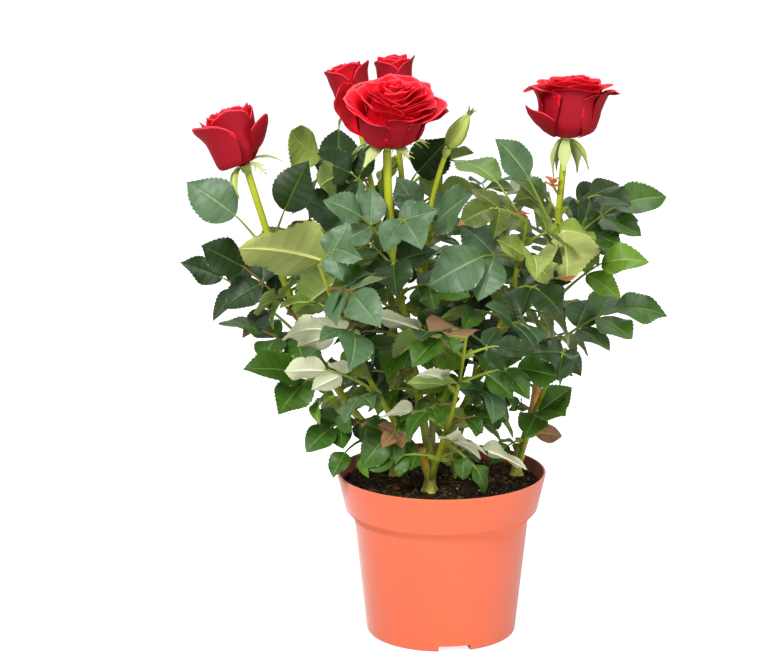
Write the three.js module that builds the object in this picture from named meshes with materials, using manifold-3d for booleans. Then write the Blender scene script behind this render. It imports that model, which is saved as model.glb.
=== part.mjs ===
// A rose bush in its nursery pot, in millimetres, +Z up.
// The origin is the centre of the pot's underside, and the bush is mostly looked at from its -Y side.
// Four rooted cuttings share the pot. Each has a short woody crown from which canes rise. A cane turns into
// a leafy shoot, and a flowering shoot goes on as a flower stem that carries a bloom or a bud.
import * as THREE from 'three';
import { mergeVertices } from 'three/addons/utils/BufferGeometryUtils.js';
import Module from 'manifold-3d';

const wasm = await Module();
wasm.setup();

// ---------------------------------------------------------------- driving dimensions

const GAP = 0.3; // clearance between pieces that rest on each other
const SMOOTH = 0.01; // how far a joined surface may be simplified

const POT = {
  height: 103, rimRadius: 65, bandRadius: 59.8, bandFoot: 80, shoulderRadius: 54.2, shoulder: 74,
  baseRadius: 46.4, baseEdge: 1.8, lipDepth: 4, wall: 1.5, floor: 1.8, sides: 32,
};
const OVERRUN = 6; // how far a cutting shape runs past what it cuts
const CHANNEL = {
  count: 3, width: 20, height: 4, skin: 1.4, from: 14, firstAngle: -79, hole: 3.2, holeAt: 34, holeSides: 8,
};
const SOIL = { foot: 5.7, crest: 97.5, rim: 94.5, heave: 1.1, seat: 97, rings: [16, 34], clear: 0.48 };

// Where each rooted cutting stands, its radius and height above the soil, and how far its top leans.
const CROWNS = {
  front: { at: [-7, -25], radius: 4.4, height: 17, lean: [1, 0] },
  right: { at: [47, 13], radius: 3.7, height: 14, lean: [3, -1] },
  left: { at: [-29, 11], radius: 3.9, height: 14, lean: [-3, 1] },
  back: { at: [6, 37], radius: 3.9, height: 14, lean: [0, 3] },
};
const CROWN_FLARE = 1.4;
const CROWN_UPRIGHT = 0.25; // the lowest share of a crown, which stands upright
// A crown's girth as a share of its radius, at shares of its height: flared, waisted, with a blunt knuckle.
const CROWN_GIRTH = [[0, CROWN_FLARE], [CROWN_UPRIGHT, 1.05], [0.6, 0.95], [0.85, 1.1], [1, 0.7]];
const CROWN_SIDES = 8;
const SEAT_SIDES = 10;
const CANE = { steps: 3, sides: 6 };
const STEM = { steps: 6, sides: 4 };
const FLOWER_STALK = { steps: 3, sides: 4 };

// A shoot is one smooth stem from the crown that bears it to its tip. It leaves the crown at the share foot
// of its height. start and end are the directions it leaves and arrives in, leafy the stretch with leaves.
const SHOOTS = {
  tall_front: { crown: 'front', foot: 0.95, tip: [-33, -32, 309], start: [-0.16, 0, 1], end: [0, -0.08, 1],
    radius: [2.8, 1.8], leafy: [0.16, 0.8], flower: 'open_bloom' },
  wide_front: { crown: 'front', foot: 0.7, tip: [50, -28, 266], start: [0.5, 0.06, 1], end: [0.1, -0.2, 1],
    radius: [2.7, 1.2], leafy: [0.2, 1] },
  budding: { crown: 'front', foot: 0.5, tip: [1, -20, 303], start: [0.1, 0.5, 1], end: [0.35, 0, 1],
    radius: [2.1, 1.5], leafy: [0.24, 0.8], flower: 'green_bud' },
  tall_right: { crown: 'right', foot: 0.95, tip: [74, 0, 306], start: [0.3, -0.12, 1], end: [0.1, 0, 1],
    radius: [2.7, 1.7], leafy: [0.2, 0.82], flower: 'side_bloom' },
  tall_left: { crown: 'left', foot: 0.95, tip: [-117, -10, 291], start: [-0.95, -0.2, 1], end: [-0.3, 0, 1],
    radius: [2.6, 1.6], leafy: [0.2, 0.8], flower: 'leaning_bloom' },
  tall_middle: { crown: 'left', foot: 0.6, tip: [-52, 30, 318], start: [0.1, 0.3, 1], end: [-0.2, 0, 1],
    radius: [2.4, 1.6], leafy: [0.24, 0.85], flower: 'cupped_bloom' },
  tall_back: { crown: 'back', foot: 0.95, tip: [-28, 50, 320], start: [-0.1, 0.1, 1], end: [0, 0, 1],
    radius: [2.5, 1.6], leafy: [0.2, 0.85], flower: 'narrow_bloom' },
  low_left: { crown: 'left', foot: 0.45, tip: [-90, -34, 184], start: [-0.8, -0.6, 1], end: [-0.8, -0.3, 1],
    radius: [2, 1], leafy: [0.2, 1] },
  low_right: { crown: 'right', foot: 0.6, tip: [74, -40, 190], start: [0.2, -0.8, 1], end: [0.5, -0.3, 1],
    radius: [2, 1], leafy: [0.2, 1] },
  back_right: { crown: 'right', foot: 0.45, tip: [74, 46, 252], start: [0.4, 0.6, 1], end: [0.3, 0.2, 1],
    radius: [2.1, 1.1], leafy: [0.2, 1] },
  back_left: { crown: 'back', foot: 0.6, tip: [-62, 68, 250], start: [-0.7, 0.3, 1], end: [-0.3, 0.2, 1],
    radius: [2.2, 1.1], leafy: [0.2, 1] },
  far_back: { crown: 'back', foot: 0.4, tip: [28, 78, 256], start: [0.5, 0.4, 1], end: [0.1, 0.2, 1],
    radius: [2.2, 1.1], leafy: [0.2, 1] },
  low_front: { crown: 'front', foot: 0.3, tip: [14, -78, 206], start: [0.25, -0.6, 1], end: [0.1, -0.3, 1],
    radius: [2, 1], leafy: [0.16, 1] },
  front_left: { crown: 'front', foot: 0.55, tip: [-72, -64, 246], start: [-0.6, -0.3, 1],
    end: [-0.3, -0.2, 1], radius: [2.2, 1.1], leafy: [0.2, 1] },
};
const BEND = 0.36; // how far along a shoot its end directions hold it

// The leaves that give the crown its outer tips and its front: the share of the shoot where each is attached,
// the tip of its end leaflet, the way its upper side looks, its number of leaflets and the end one's length.
const GUIDES = [
  { shoot: 'tall_left', at: 0.7, tip: [-151, -24, 290], face: [-0.3, -0.8, 0.6], count: 1, length: 42 },
  { shoot: 'tall_left', at: 0.4, tip: [-159, -10, 237], face: [-0.5, -0.5, 0.7], count: 5, length: 33 },
  { shoot: 'tall_left', at: 0.5, tip: [-143, -32, 252], face: [0, -0.8, 0.6], count: 3, length: 36 },
  { shoot: 'tall_left', at: 0.3, tip: [-135, -20, 204], face: [-0.2, -0.3, 1], count: 5, length: 33 },
  { shoot: 'tall_front', at: 0.66, tip: [-119, -58, 267], face: [0.1, 0.95, 0.3], count: 3, length: 56 },
  { shoot: 'tall_middle', at: 0.72, tip: [-101, 2, 314], face: [-0.8, -0.2, 0.6], count: 3, length: 40 },
  { shoot: 'low_left', at: 0.7, tip: [-114, -58, 187], face: [-0.2, -0.7, 0.7], count: 3, length: 42 },
  { shoot: 'low_left', at: 0.4, tip: [-82, -40, 130], face: [-0.3, -0.8, 0.5], count: 3, length: 24 },
  { shoot: 'low_left', at: 0.24, tip: [-66, -45, 115], face: [-0.2, -0.8, 0.6], count: 1, length: 18 },
  { shoot: 'front_left', at: 0.22, tip: [-48, -58, 126], face: [-0.1, -0.8, 0.6], count: 3, length: 24 },
  { shoot: 'front_left', at: 0.66, tip: [-98, -60, 212], face: [0.2, 0.8, 0.5], count: 3, length: 32 },
  { shoot: 'front_left', at: 0.42, tip: [-94, -58, 182], face: [0.2, 0.8, 0.5], count: 3, length: 28 },
  { shoot: 'tall_front', at: 0.68, tip: [-66, -56, 286], face: [-0.1, -0.7, 0.6], count: 3, length: 30 },
  { shoot: 'budding', at: 0.74, tip: [12, -54, 290], face: [0.1, -0.7, 0.7], count: 1, length: 46 },
  { shoot: 'wide_front', at: 0.86, tip: [-6, -62, 238], face: [0.1, -0.9, 0.5], count: 3, length: 38 },
  { shoot: 'wide_front', at: 0.98, tip: [8, 6, 310], face: [0.8, -0.7, 0.3], count: 1, length: 44 },
  { shoot: 'tall_right', at: 0.72, tip: [36, -10, 315], face: [-0.3, -0.7, 0.6], count: 1, length: 36 },
  { shoot: 'tall_right', at: 0.66, tip: [134, 0, 283], face: [0.1, -0.5, 0.9], count: 5, length: 38 },
  { shoot: 'tall_right', at: 0.58, tip: [70, -40, 228], face: [0.4, 0.8, 0.3], count: 1, length: 42 },
  { shoot: 'tall_right', at: 0.34, tip: [138, 0, 213], face: [0.2, -0.4, 0.9], count: 5, length: 38 },
  { shoot: 'low_right', at: 0.4, tip: [72, -52, 158], face: [0.1, -0.7, 0.8], count: 3, length: 33 },
  { shoot: 'low_right', at: 0.24, tip: [76, 0, 128], face: [0.4, -0.6, 0.6], count: 1, length: 20 },
  { shoot: 'low_front', at: 0.18, tip: [55, -57, 124], face: [0.2, 0.7, -0.5], count: 1, length: 33 },
  { shoot: 'low_front', at: 0.9, tip: [-51, -74, 232], face: [0, 0.8, 0.5], count: 3, length: 42 },
  { shoot: 'low_front', at: 0.66, tip: [-20, -88, 190], face: [0.2, 0.8, 0.5], count: 3, length: 30 },
  { shoot: 'low_front', at: 0.4, tip: [-40, -70, 162], face: [0.2, 0.8, 0.5], count: 1, length: 28 },
  { shoot: 'wide_front', at: 0.5, tip: [-6, -66, 206], face: [0, 0.4, 0.9], count: 1, length: 42 },
  { shoot: 'tall_middle', at: 0.78, tip: [-76, 4, 300], face: [-0.4, -0.8, 0.5], count: 3, length: 32 },
  { shoot: 'tall_back', at: 0.76, tip: [2, 24, 306], face: [0.4, -0.7, 0.6], count: 1, length: 38 },
  { shoot: 'tall_right', at: 0.5, tip: [118, -34, 250], face: [0.5, -0.7, 0.6], count: 3, length: 34 },
  { shoot: 'back_right', at: 0.9, tip: [122, 40, 262], face: [0.5, -0.5, 0.7], count: 3, length: 36 },
  { shoot: 'tall_left', at: 0.78, tip: [-82, -18, 300], face: [0.1, -0.8, 0.6], count: 1, length: 38 },
  { shoot: 'tall_middle', at: 0.6, tip: [-86, -4, 276], face: [-0.2, -0.9, 0.4], count: 3, length: 34 },
  { shoot: 'tall_back', at: 0.66, tip: [-2, 4, 272], face: [0.2, -0.9, 0.5], count: 3, length: 34 },
];

const LEAF = {
  spacing: 14, turn: 144, turnSwing: 25, phase: 77, outward: 0.8, tries: 9, retryTurn: 50, retryShrink: 0.05,
  counts: [5, 5, 3],
  length: [19, 33, 40], lengthAt: [110, 175, 250], spread: [0.86, 1.1], stalk: { 1: 0.5, 3: 0.85, 5: 1.15 },
  tilt: [-16, 22], tiltSwing: 14, arch: 0.22, upward: 0.6, lean: 0.5, swing: 0.7,
  pairs: { 1: [], 3: [0.7], 5: [0.48, 0.8] }, pairShare: 0.84, pairAngle: 58, pairDroop: 0.12,
  innerPair: 0.82, shortestStalk: 0.2, inset: 0.02,
  width: 0.74, fold: 0.26, bend: 0.1, thickness: 1, widest: 0.42, thickest: 0.35,
  stalkRadius: 0.9, stalkDepth: 1.35,
};
const AHEAD = { pair: 0.05, station: 0.02 }; // how far on a stalk is looked along for its direction
// How far from the middle of the bush a leaf may reach, at these heights.
const CROWN_REACH = { middle: [-8, 0], heights: [104, 150, 215, 285, 320], radii: [60, 92, 140, 134, 92] };
// Where a leaflet is tested, as shares of its length and width. The last one is its tip.
const BLADE_SAMPLES = [
  [0.1, 0], [0.3, 0.4], [0.3, 0], [0.3, -0.4], [0.5, 0.5], [0.5, 0], [0.5, -0.5], [0.75, 0.35], [0.75, 0],
  [0.75, -0.35], [1, 0],
];
// The room a leaf keeps to other leaves, round their edges, to stems, between stems and to the pot. Stems and
// stalks are tested at points this far apart, and a stalk's first points may touch its own shoot.
const CLEAR = {
  leaf: 3.6, edge: 1.2, stem: 1.6, stalk: 1, pot: 3, step: 4, atRoot: 3, reach: 4,
  bloom: 0.46, bloomMiddle: 0.6,
};

// Each flower's place is its shoot's tip. axis is the way it faces, width and height are those of its petals.
const FLOWERS = {
  open_bloom: { axis: [0.1, -0.36, 0.93], width: 66, height: 37, form: 'open', steps: 30 },
  side_bloom: { axis: [0.03, 0.02, 1], width: 57, height: 37, form: 'cup', steps: 25 },
  leaning_bloom: { axis: [-0.34, -0.1, 0.93], width: 46, height: 38, form: 'cup', steps: 20 },
  cupped_bloom: { axis: [-0.26, 0.1, 0.96], width: 34, height: 33, form: 'cup', steps: 20 },
  narrow_bloom: { axis: [0.02, 0.05, 1], width: 30, height: 31, form: 'cup', steps: 20 },
  green_bud: { axis: [0.35, -0.05, 0.93], width: 14, height: 25, form: 'bud' },
};
// A bloom is one surface over these rings, from the calyx out round the lip and into the heart. Each has its
// radius and height, as shares of half the width and of the height, the depth of the notches between petals,
// and 1 where those lie over the middle of the outer petals.
const BLOOM_FORMS = {
  open: [
    [0.1, 0, 0, 0], [0.52, 0.06, 0, 0], [0.82, 0.42, 0.06, 0], [1, 0.74, 0.16, 0], [0.93, 0.76, 0.16, 0],
    [0.72, 0.5, 0, 0], [0.76, 0.84, 0.14, 1], [0.69, 0.86, 0.14, 1], [0.48, 0.66, 0, 1], [0.5, 0.97, 0.12, 0],
    [0.42, 0.98, 0.12, 0], [0.24, 0.82, 0, 0], [0.2, 1, 0.1, 1],
  ],
  cup: [
    [0.12, 0, 0, 0], [0.62, 0.1, 0, 0], [0.76, 0.36, 0.03, 0], [0.8, 0.66, 0.06, 0], [1, 0.92, 0.18, 0],
    [0.92, 0.93, 0.18, 0], [0.62, 0.7, 0, 0], [0.66, 0.98, 0.14, 1], [0.58, 0.99, 0.14, 1],
    [0.34, 0.78, 0, 0], [0.28, 1, 0.12, 0],
  ],
};
const BLOOM = { petals: 5, notchDrop: 0.7, notchSharpness: 0.7, heart: 0.92 };
const BUD = {
  outline: [[0, 0], [0.5, 0.02], [0.95, 0.22], [1, 0.42], [0.72, 0.68], [0.34, 0.88], [0, 1]], sides: 10,
};
// A stalk swells into the calyx, whose sepals turn outwards and down, every other one less so.
const CALYX = {
  radius: 3.1, height: 6.5, sides: 6, foot: 1, waist: 0.6, belly: 0.5, collar: 0.9, onBud: 0.75,
};
const SEPAL = {
  count: 5, length: 20, width: 5.5, drops: [0.25, 0.45], firstAngle: 20, at: [0.4, 0.62], half: 1,
  fold: 0.1,
};

const COLOURS = {
  pot: 0xf5805c, soil: 0x2b211b, crown: 0x8f8a3f, cane: 0x7d9444, leaf: 0x2f6140, stem: 0x7fa858,
  petal: 0xb3101e, bud: 0x9db35a,
};

// ---------------------------------------------------------------- small helpers

const UP = new THREE.Vector3(0, 0, 1);
const rad = THREE.MathUtils.degToRad;
const lerp = THREE.MathUtils.lerp;
const vec = (list) => new THREE.Vector3(...list);

// The value at x on a line through the points (xs, ys), level beyond its ends.
function along(xs, ys, x) {
  const last = xs.length - 1;
  if (x <= xs[0]) return ys[0];
  if (x >= xs[last]) return ys[last];
  const i = xs.findIndex((edge) => edge > x) - 1;
  return lerp(ys[i], ys[i + 1], (x - xs[i]) / (xs[i + 1] - xs[i]));
}

// A repeatable source of random numbers: each leaf starts its own.
class Dice {
  constructor(seed) {
    this.state = Math.imul(seed + 1, 2654435761) >>> 0;
    this.roll();
    this.roll();
  }

  roll() {
    this.state = (Math.imul(this.state, 1664525) + 1013904223) >>> 0;
    return this.state / 2 ** 32;
  }

  between(low, high) {
    return low + (high - low) * this.roll();
  }
}

// The triangles of a closed shape, as a geometry whose faces point out.
function closedGeometry(points, faces) {
  let volume = 0;
  for (const [a, b, c] of faces) volume += points[a].dot(points[b].clone().cross(points[c]));
  const turned = volume < 0 ? faces.map(([a, b, c]) => [a, c, b]) : faces;
  const geometry = new THREE.BufferGeometry();
  const positions = points.flatMap((p) => [p.x, p.y, p.z]);
  geometry.setAttribute('position', new THREE.Float32BufferAttribute(positions, 3));
  geometry.setIndex(turned.flat());
  return geometry;
}

function toSolid(geometry) {
  const bare = geometry.clone();
  bare.deleteAttribute('normal');
  bare.deleteAttribute('uv');
  const merged = mergeVertices(bare, 1e-4);
  return new wasm.Manifold(new wasm.Mesh({
    numProp: 3,
    vertProperties: new Float32Array(merged.attributes.position.array),
    triVerts: new Uint32Array(merged.index.array),
    tolerance: SMOOTH,
  }));
}

// The body with the most material in it, without loose scraps and with its sealed hollows filled.
function mainBody(solid) {
  const bodies = solid.decompose();
  return bodies.reduce((best, body) => (body.volume() > best.volume() ? body : best));
}

function fuse(solids) {
  return mainBody(solids.reduce((whole, next) => whole.add(next)));
}

function toMesh(name, solid, colour, roughness) {
  const { vertProperties, triVerts, numProp } = solid.getMesh();
  const positions = [];
  for (let i = 0; i < vertProperties.length; i += numProp) positions.push(...vertProperties.slice(i, i + 3));
  const geometry = new THREE.BufferGeometry();
  geometry.setAttribute('position', new THREE.Float32BufferAttribute(positions, 3));
  geometry.setIndex(Array.from(triVerts));
  const look = { color: colour, roughness, metalness: 0, flatShading: true };
  const material = new THREE.MeshStandardMaterial(look);
  const mesh = new THREE.Mesh(geometry, material);
  mesh.name = name;
  return mesh;
}

function touches(a, b) {
  const one = a.boundingBox();
  const two = b.boundingBox();
  const apart = [0, 1, 2].some((k) => one.min[k] > two.max[k] || two.min[k] > one.max[k]);
  return !apart && a.intersect(b).volume() > 1e-4;
}

// ---------------------------------------------------------------- basic shapes

// A closed limb through the points, each with its own radius, on a section of the given number of sides.
function limb(points, radii, sides) {
  const rings = [];
  let side = null;
  points.forEach((point, i) => {
    const before = points[Math.max(i - 1, 0)];
    const after = points[Math.min(i + 1, points.length - 1)];
    const ahead = after.clone().sub(before).normalize();
    side = side ?? (Math.abs(ahead.x) < 0.9 ? new THREE.Vector3(1, 0, 0) : new THREE.Vector3(0, 1, 0));
    side = side.clone().addScaledVector(ahead, -side.dot(ahead)).normalize();
    const third = ahead.clone().cross(side);
    for (let k = 0; k < sides; k += 1) {
      const angle = (2 * Math.PI * k) / sides;
      rings.push(point.clone()
        .addScaledVector(side, radii[i] * Math.cos(angle))
        .addScaledVector(third, radii[i] * Math.sin(angle)));
    }
  });
  const faces = [];
  const last = (points.length - 1) * sides;
  for (let i = 0; i < last; i += sides) {
    for (let k = 0; k < sides; k += 1) {
      const next = (k + 1) % sides;
      faces.push([i + k, i + next, i + sides + next], [i + k, i + sides + next, i + sides + k]);
    }
  }
  for (let k = 1; k < sides - 1; k += 1) faces.push([0, k + 1, k], [last, last + k, last + k + 1]);
  return toSolid(closedGeometry(rings, faces));
}

// A shape turned round the Z axis from its outline of [radius, height] points, which starts and ends on it.
function turned(outline, sides) {
  const profile = outline.map(([r, z]) => new THREE.Vector2(r, z));
  return toSolid(new THREE.LatheGeometry(profile, sides).rotateX(Math.PI / 2));
}

// A flat form grown into a solid. Its rim points are one knife edge, and each of its core points becomes one
// above and one below, so every triangle of the form gives one face on each side.
class Skin {
  constructor() {
    this.upper = [];
    this.lower = [];
    this.triangles = [];
  }

  rim(point) {
    this.upper.push(point);
    this.lower.push(null);
    return this.upper.length - 1;
  }

  core(point, normal, thickness) {
    this.upper.push(point.clone().addScaledVector(normal, thickness / 2));
    this.lower.push(point.clone().addScaledVector(normal, -thickness / 2));
    return this.upper.length - 1;
  }

  fan(middle, loop) {
    for (let k = 0; k + 1 < loop.length; k += 1) this.triangles.push([middle, loop[k], loop[k + 1]]);
  }

  // A leaflet that opens from the core point foot and the two rim points beside it, in turning order.
  blade({ base, along: u, across: v, face: n, length, width, fold }, foot, before, after) {
    const { thickness, bend, widest, thickest } = LEAF;
    const place = (x, y) => base.clone().addScaledVector(u, x * length).addScaledVector(v, y * width)
      .addScaledVector(n, Math.abs(y) * width * fold - bend * length * x * x);
    const middle = this.core(place(thickest, 0), n, thickness);
    const right = this.rim(place(widest, -0.5));
    const tip = this.rim(place(1, 0));
    const left = this.rim(place(widest, 0.5));
    this.fan(middle, [foot, before, right, tip, left, after, foot]);
  }

  solid() {
    const points = [...this.upper];
    const below = this.lower.map((point, i) => (point ? points.push(point) - 1 : i));
    const faces = this.triangles.flatMap(([a, b, c]) => [[a, b, c], [below[a], below[c], below[b]]]);
    return toSolid(closedGeometry(points, faces));
  }
}

// ---------------------------------------------------------------- the pot and what fills it

function wallRadius(z) {
  return along([0, POT.shoulder, POT.bandFoot, POT.height],
    [POT.baseRadius, POT.shoulderRadius, POT.bandRadius, POT.rimRadius], z);
}

function potSolid() {
  const { height, baseRadius, baseEdge, wall, floor } = POT;
  const bends = [POT.shoulder, POT.bandFoot, height - POT.lipDepth];
  const outer = turned([
    [0, 0], [baseRadius - baseEdge, 0], [wallRadius(baseEdge), baseEdge],
    ...bends.map((z) => [wallRadius(z), z]), [POT.rimRadius, height], [0, height],
  ], POT.sides);
  const inner = turned([
    [0, floor], [wallRadius(floor) - wall, floor],
    ...bends.map((z) => [wallRadius(z) - wall, z]), [POT.rimRadius - wall, height],
    [POT.rimRadius - wall, height + OVERRUN], [0, height + OVERRUN],
  ], POT.sides);
  const channels = [];
  const roofs = [];
  const holes = [];
  for (let k = 0; k < CHANNEL.count; k += 1) {
    const angle = rad(CHANNEL.firstAngle + (360 * k) / CHANNEL.count);
    const bar = (from, width, low, high) => {
      const long = baseRadius + OVERRUN - from;
      return toSolid(new THREE.BoxGeometry(long, width, high - low)
        .translate(from + long / 2, 0, (low + high) / 2).rotateZ(angle));
    };
    const { from, width, height: rise, skin, hole, holeAt } = CHANNEL;
    channels.push(bar(from, width, -OVERRUN, rise));
    roofs.push(bar(from - skin, width + 2 * skin, floor / 2, rise + skin));
    const long = 2 * (rise + OVERRUN);
    holes.push(toSolid(new THREE.CylinderGeometry(hole, hole, long, CHANNEL.holeSides).rotateX(Math.PI / 2)
      .translate(holeAt, 0, 0).rotateZ(angle)));
  }
  const roof = roofs.reduce((whole, next) => whole.add(next)).intersect(outer);
  const shell = outer.subtract(inner).add(roof);
  return [...channels, ...holes].reduce((whole, cut) => whole.subtract(cut), shell);
}

// A round plug in the mix under or over a crown's flat foot, between two heights.
function seatPlug({ at, radius }, low, high) {
  const reach = radius * CROWN_FLARE + 2 * GAP;
  return toSolid(new THREE.CylinderGeometry(reach, reach, high - low, SEAT_SIDES).rotateX(Math.PI / 2)
    .translate(at[0], at[1], (low + high) / 2));
}

// The mix sinks a little towards the wall and heaves between the crowns, and is level under their feet.
function soilSolid() {
  const { foot, crest, rim, heave, rings, clear } = SOIL;
  const { sides } = POT;
  const edge = (z) => wallRadius(z) - POT.wall - clear;
  const points = [new THREE.Vector3(0, 0, crest)];
  const ring = (radius, z, heaveHere) => {
    for (let k = 0; k < sides; k += 1) {
      const angle = (2 * Math.PI * k) / sides;
      const swell = heaveHere * Math.sin(3 * angle + radius / 9) * Math.cos(2 * angle - radius / 13);
      points.push(new THREE.Vector3(radius * Math.cos(angle), radius * Math.sin(angle), z + swell));
    }
  };
  for (const radius of rings) ring(radius, lerp(crest, rim, (radius / edge(rim)) ** 2), heave);
  for (const z of [rim, POT.bandFoot, POT.shoulder, foot]) ring(edge(z), z, 0);
  const bottom = points.push(new THREE.Vector3(0, 0, foot)) - 1;
  const faces = [];
  for (let k = 0; k < sides; k += 1) {
    const next = (k + 1) % sides;
    faces.push([0, 1 + k, 1 + next], [bottom, bottom - sides + next, bottom - sides + k]);
    for (let low = 1; low + sides < bottom; low += sides) {
      faces.push([low + k, low + sides + k, low + sides + next], [low + k, low + sides + next, low + next]);
    }
  }
  return Object.values(CROWNS).reduce((mix, crown) => mix
    .subtract(seatPlug(crown, SOIL.seat, POT.height))
    .add(seatPlug(crown, POT.bandFoot, SOIL.seat)), toSolid(closedGeometry(points, faces)));
}

// ---------------------------------------------------------------- crowns, canes and stems

function crownPoint(crown, share) {
  const { at, height, lean } = crown;
  const slant = Math.max(0, share - CROWN_UPRIGHT);
  const z = SOIL.seat + GAP + height * share;
  return new THREE.Vector3(at[0] + lean[0] * slant, at[1] + lean[1] * slant, z);
}

// grow makes the crown stouter, for the room to leave round it.
function crownSolid(crown, grow) {
  const points = CROWN_GIRTH.map(([share]) => crownPoint(crown, share));
  points.at(0).z -= grow;
  points.at(-1).z += grow;
  return limb(points, CROWN_GIRTH.map(([, girth]) => crown.radius * girth + grow), CROWN_SIDES);
}

function shootCurve({ crown, foot, tip, start, end }) {
  const from = crownPoint(CROWNS[crown], foot);
  const to = vec(tip);
  const reach = from.distanceTo(to) * BEND;
  const out = vec(start).normalize().multiplyScalar(reach).add(from);
  const back = vec(end).normalize().multiplyScalar(-reach).add(to);
  return new THREE.CubicBezierCurve3(from, out, back, to);
}

const CURVES = Object.fromEntries(Object.entries(SHOOTS).map(([name, shoot]) => [name, shootCurve(shoot)]));

function shootRadius({ radius }, share) {
  return lerp(radius[0], radius[1], share);
}

// The stretch of a shoot between two shares of it. grow makes it stouter, for the room to leave round it.
function stretch(name, from, to, { steps, sides }, grow = 0) {
  const points = [];
  const radii = [];
  for (let i = 0; i <= steps; i += 1) {
    const share = lerp(from, to, i / steps);
    points.push(CURVES[name].getPoint(share));
    radii.push(shootRadius(SHOOTS[name], share) + grow);
  }
  return limb(points, radii, sides);
}

// The share of a shoot that is as long as the clearance.
function gapShare(name) {
  return GAP / CURVES[name].getLength();
}

// ---------------------------------------------------------------- how leaves are placed

// Everything that a new leaf keeps clear of: the blades of other leaves, and beads along stems and stalks.
class Room {
  constructor() {
    this.blades = [];
    this.beads = [];
  }

  static bladeHit(blade, point, clearance, margin) {
    const away = point.clone().sub(blade.middle);
    const x = away.dot(blade.along) / (blade.length / 2 + margin);
    const y = away.dot(blade.across);
    if (x * x + (y / (blade.width / 2 + margin)) ** 2 > 1) return false;
    return Math.abs(away.dot(blade.face) - Math.abs(y) * blade.fold) < clearance;
  }

  near(a, b, distance) {
    return a.distanceToSquared(b) < distance * distance;
  }

  bladeClashes(blade) {
    for (const other of this.blades) {
      if (!this.near(blade.middle, other.middle, (blade.length + other.length) / 2 + CLEAR.leaf)) continue;
      if (blade.samples.some((p) => Room.bladeHit(other, p, CLEAR.leaf, CLEAR.edge))) return true;
      if (other.samples.some((p) => Room.bladeHit(blade, p, CLEAR.leaf, CLEAR.edge))) return true;
    }
    const reach = blade.length / 2 + CLEAR.reach;
    return this.beads.some((bead) => this.near(blade.middle, bead.at, reach + bead.radius)
      && Room.bladeHit(blade, bead.at, bead.radius + CLEAR.stem, bead.radius));
  }

  stalkClashes(stalk, ownShoot) {
    return stalk.some((bead, i) => {
      if (this.blades.some((blade) => this.near(blade.middle, bead.at, blade.length / 2 + CLEAR.reach)
        && Room.bladeHit(blade, bead.at, bead.radius + CLEAR.stem, CLEAR.stalk))) return true;
      return this.beads.some((other) => !(other.shoot === ownShoot && i < CLEAR.atRoot)
        && this.near(other.at, bead.at, other.radius + bead.radius + CLEAR.stalk));
    });
  }

  fits(leaf) {
    return !leaf.blades.some((blade) => this.bladeClashes(blade))
      && !this.stalkClashes(leaf.stalk, leaf.shoot)
      && leaf.blades.every((blade) => blade.samples.every(clearOfPot));
  }

  take(leaf) {
    this.blades.push(...leaf.blades);
    this.beads.push(...leaf.stalk);
  }
}

function clearOfPot(point) {
  return point.z > POT.height + CLEAR.pot;
}

function insideCrown(point) {
  const { middle, heights, radii } = CROWN_REACH;
  return Math.hypot(point.x - middle[0], point.y - middle[1]) < along(heights, radii, point.z)
    && point.z < heights.at(-1);
}

// One leaflet from its base along u, with its upper side turned towards the face direction.
function planBlade(base, u, face, length) {
  const n = face.clone().addScaledVector(u, -face.dot(u)).normalize();
  const v = n.clone().cross(u);
  const width = length * LEAF.width;
  const blade = {
    base, along: u, across: v, face: n, length, width, fold: LEAF.fold,
    middle: base.clone().addScaledVector(u, length / 2), samples: [],
  };
  for (const [x, y] of BLADE_SAMPLES) {
    const sag = Math.abs(y) * width * LEAF.fold - LEAF.bend * length * x * x;
    blade.samples.push(base.clone().addScaledVector(u, x * length).addScaledVector(v, y * width)
      .addScaledVector(n, sag));
  }
  return blade;
}

// A leaf whose stalk arches from its root towards the tip, with an end leaflet and pairs of side leaflets.
function planLeaf(shoot, root, tip, face, count, length) {
  const reach = root.distanceTo(tip);
  const aside = Math.hypot(tip.x - root.x, tip.y - root.y);
  const crest = root.clone().lerp(tip, 0.5).addScaledVector(UP, aside * LEAF.arch);
  const path = new THREE.QuadraticBezierCurve3(root, crest, tip);
  const end = Math.max(1 - length / reach, LEAF.shortestStalk);
  const endBase = path.getPoint(end);
  const ahead = tip.clone().sub(endBase);
  const blades = [planBlade(endBase, ahead.clone().normalize(), face, ahead.length())];
  LEAF.pairs[count].forEach((place) => {
    const share = place * end;
    const base = path.getPoint(share);
    const onward = path.getPoint(share + AHEAD.pair).sub(base).normalize();
    const n = face.clone().addScaledVector(onward, -face.dot(onward)).normalize();
    const sideways = n.clone().cross(onward);
    for (const side of [1, -1]) {
      const angle = rad(LEAF.pairAngle);
      const u = onward.clone().multiplyScalar(Math.cos(angle))
        .addScaledVector(sideways, side * Math.sin(angle))
        .addScaledVector(n, -LEAF.pairDroop).normalize();
      blades.push(planBlade(base, u, face, length * LEAF.pairShare * lerp(LEAF.innerPair, 1, place)));
    }
  });
  const stalk = [];
  const beads = Math.ceil((reach * end) / CLEAR.step);
  for (let i = 0; i <= beads; i += 1) {
    stalk.push({ at: path.getPoint((end * i) / beads), radius: LEAF.stalkRadius, shoot });
  }
  const pairShares = LEAF.pairs[count].map((place) => place * end);
  return { shoot, path, end, blades, stalk, pairShares, face };
}

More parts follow.
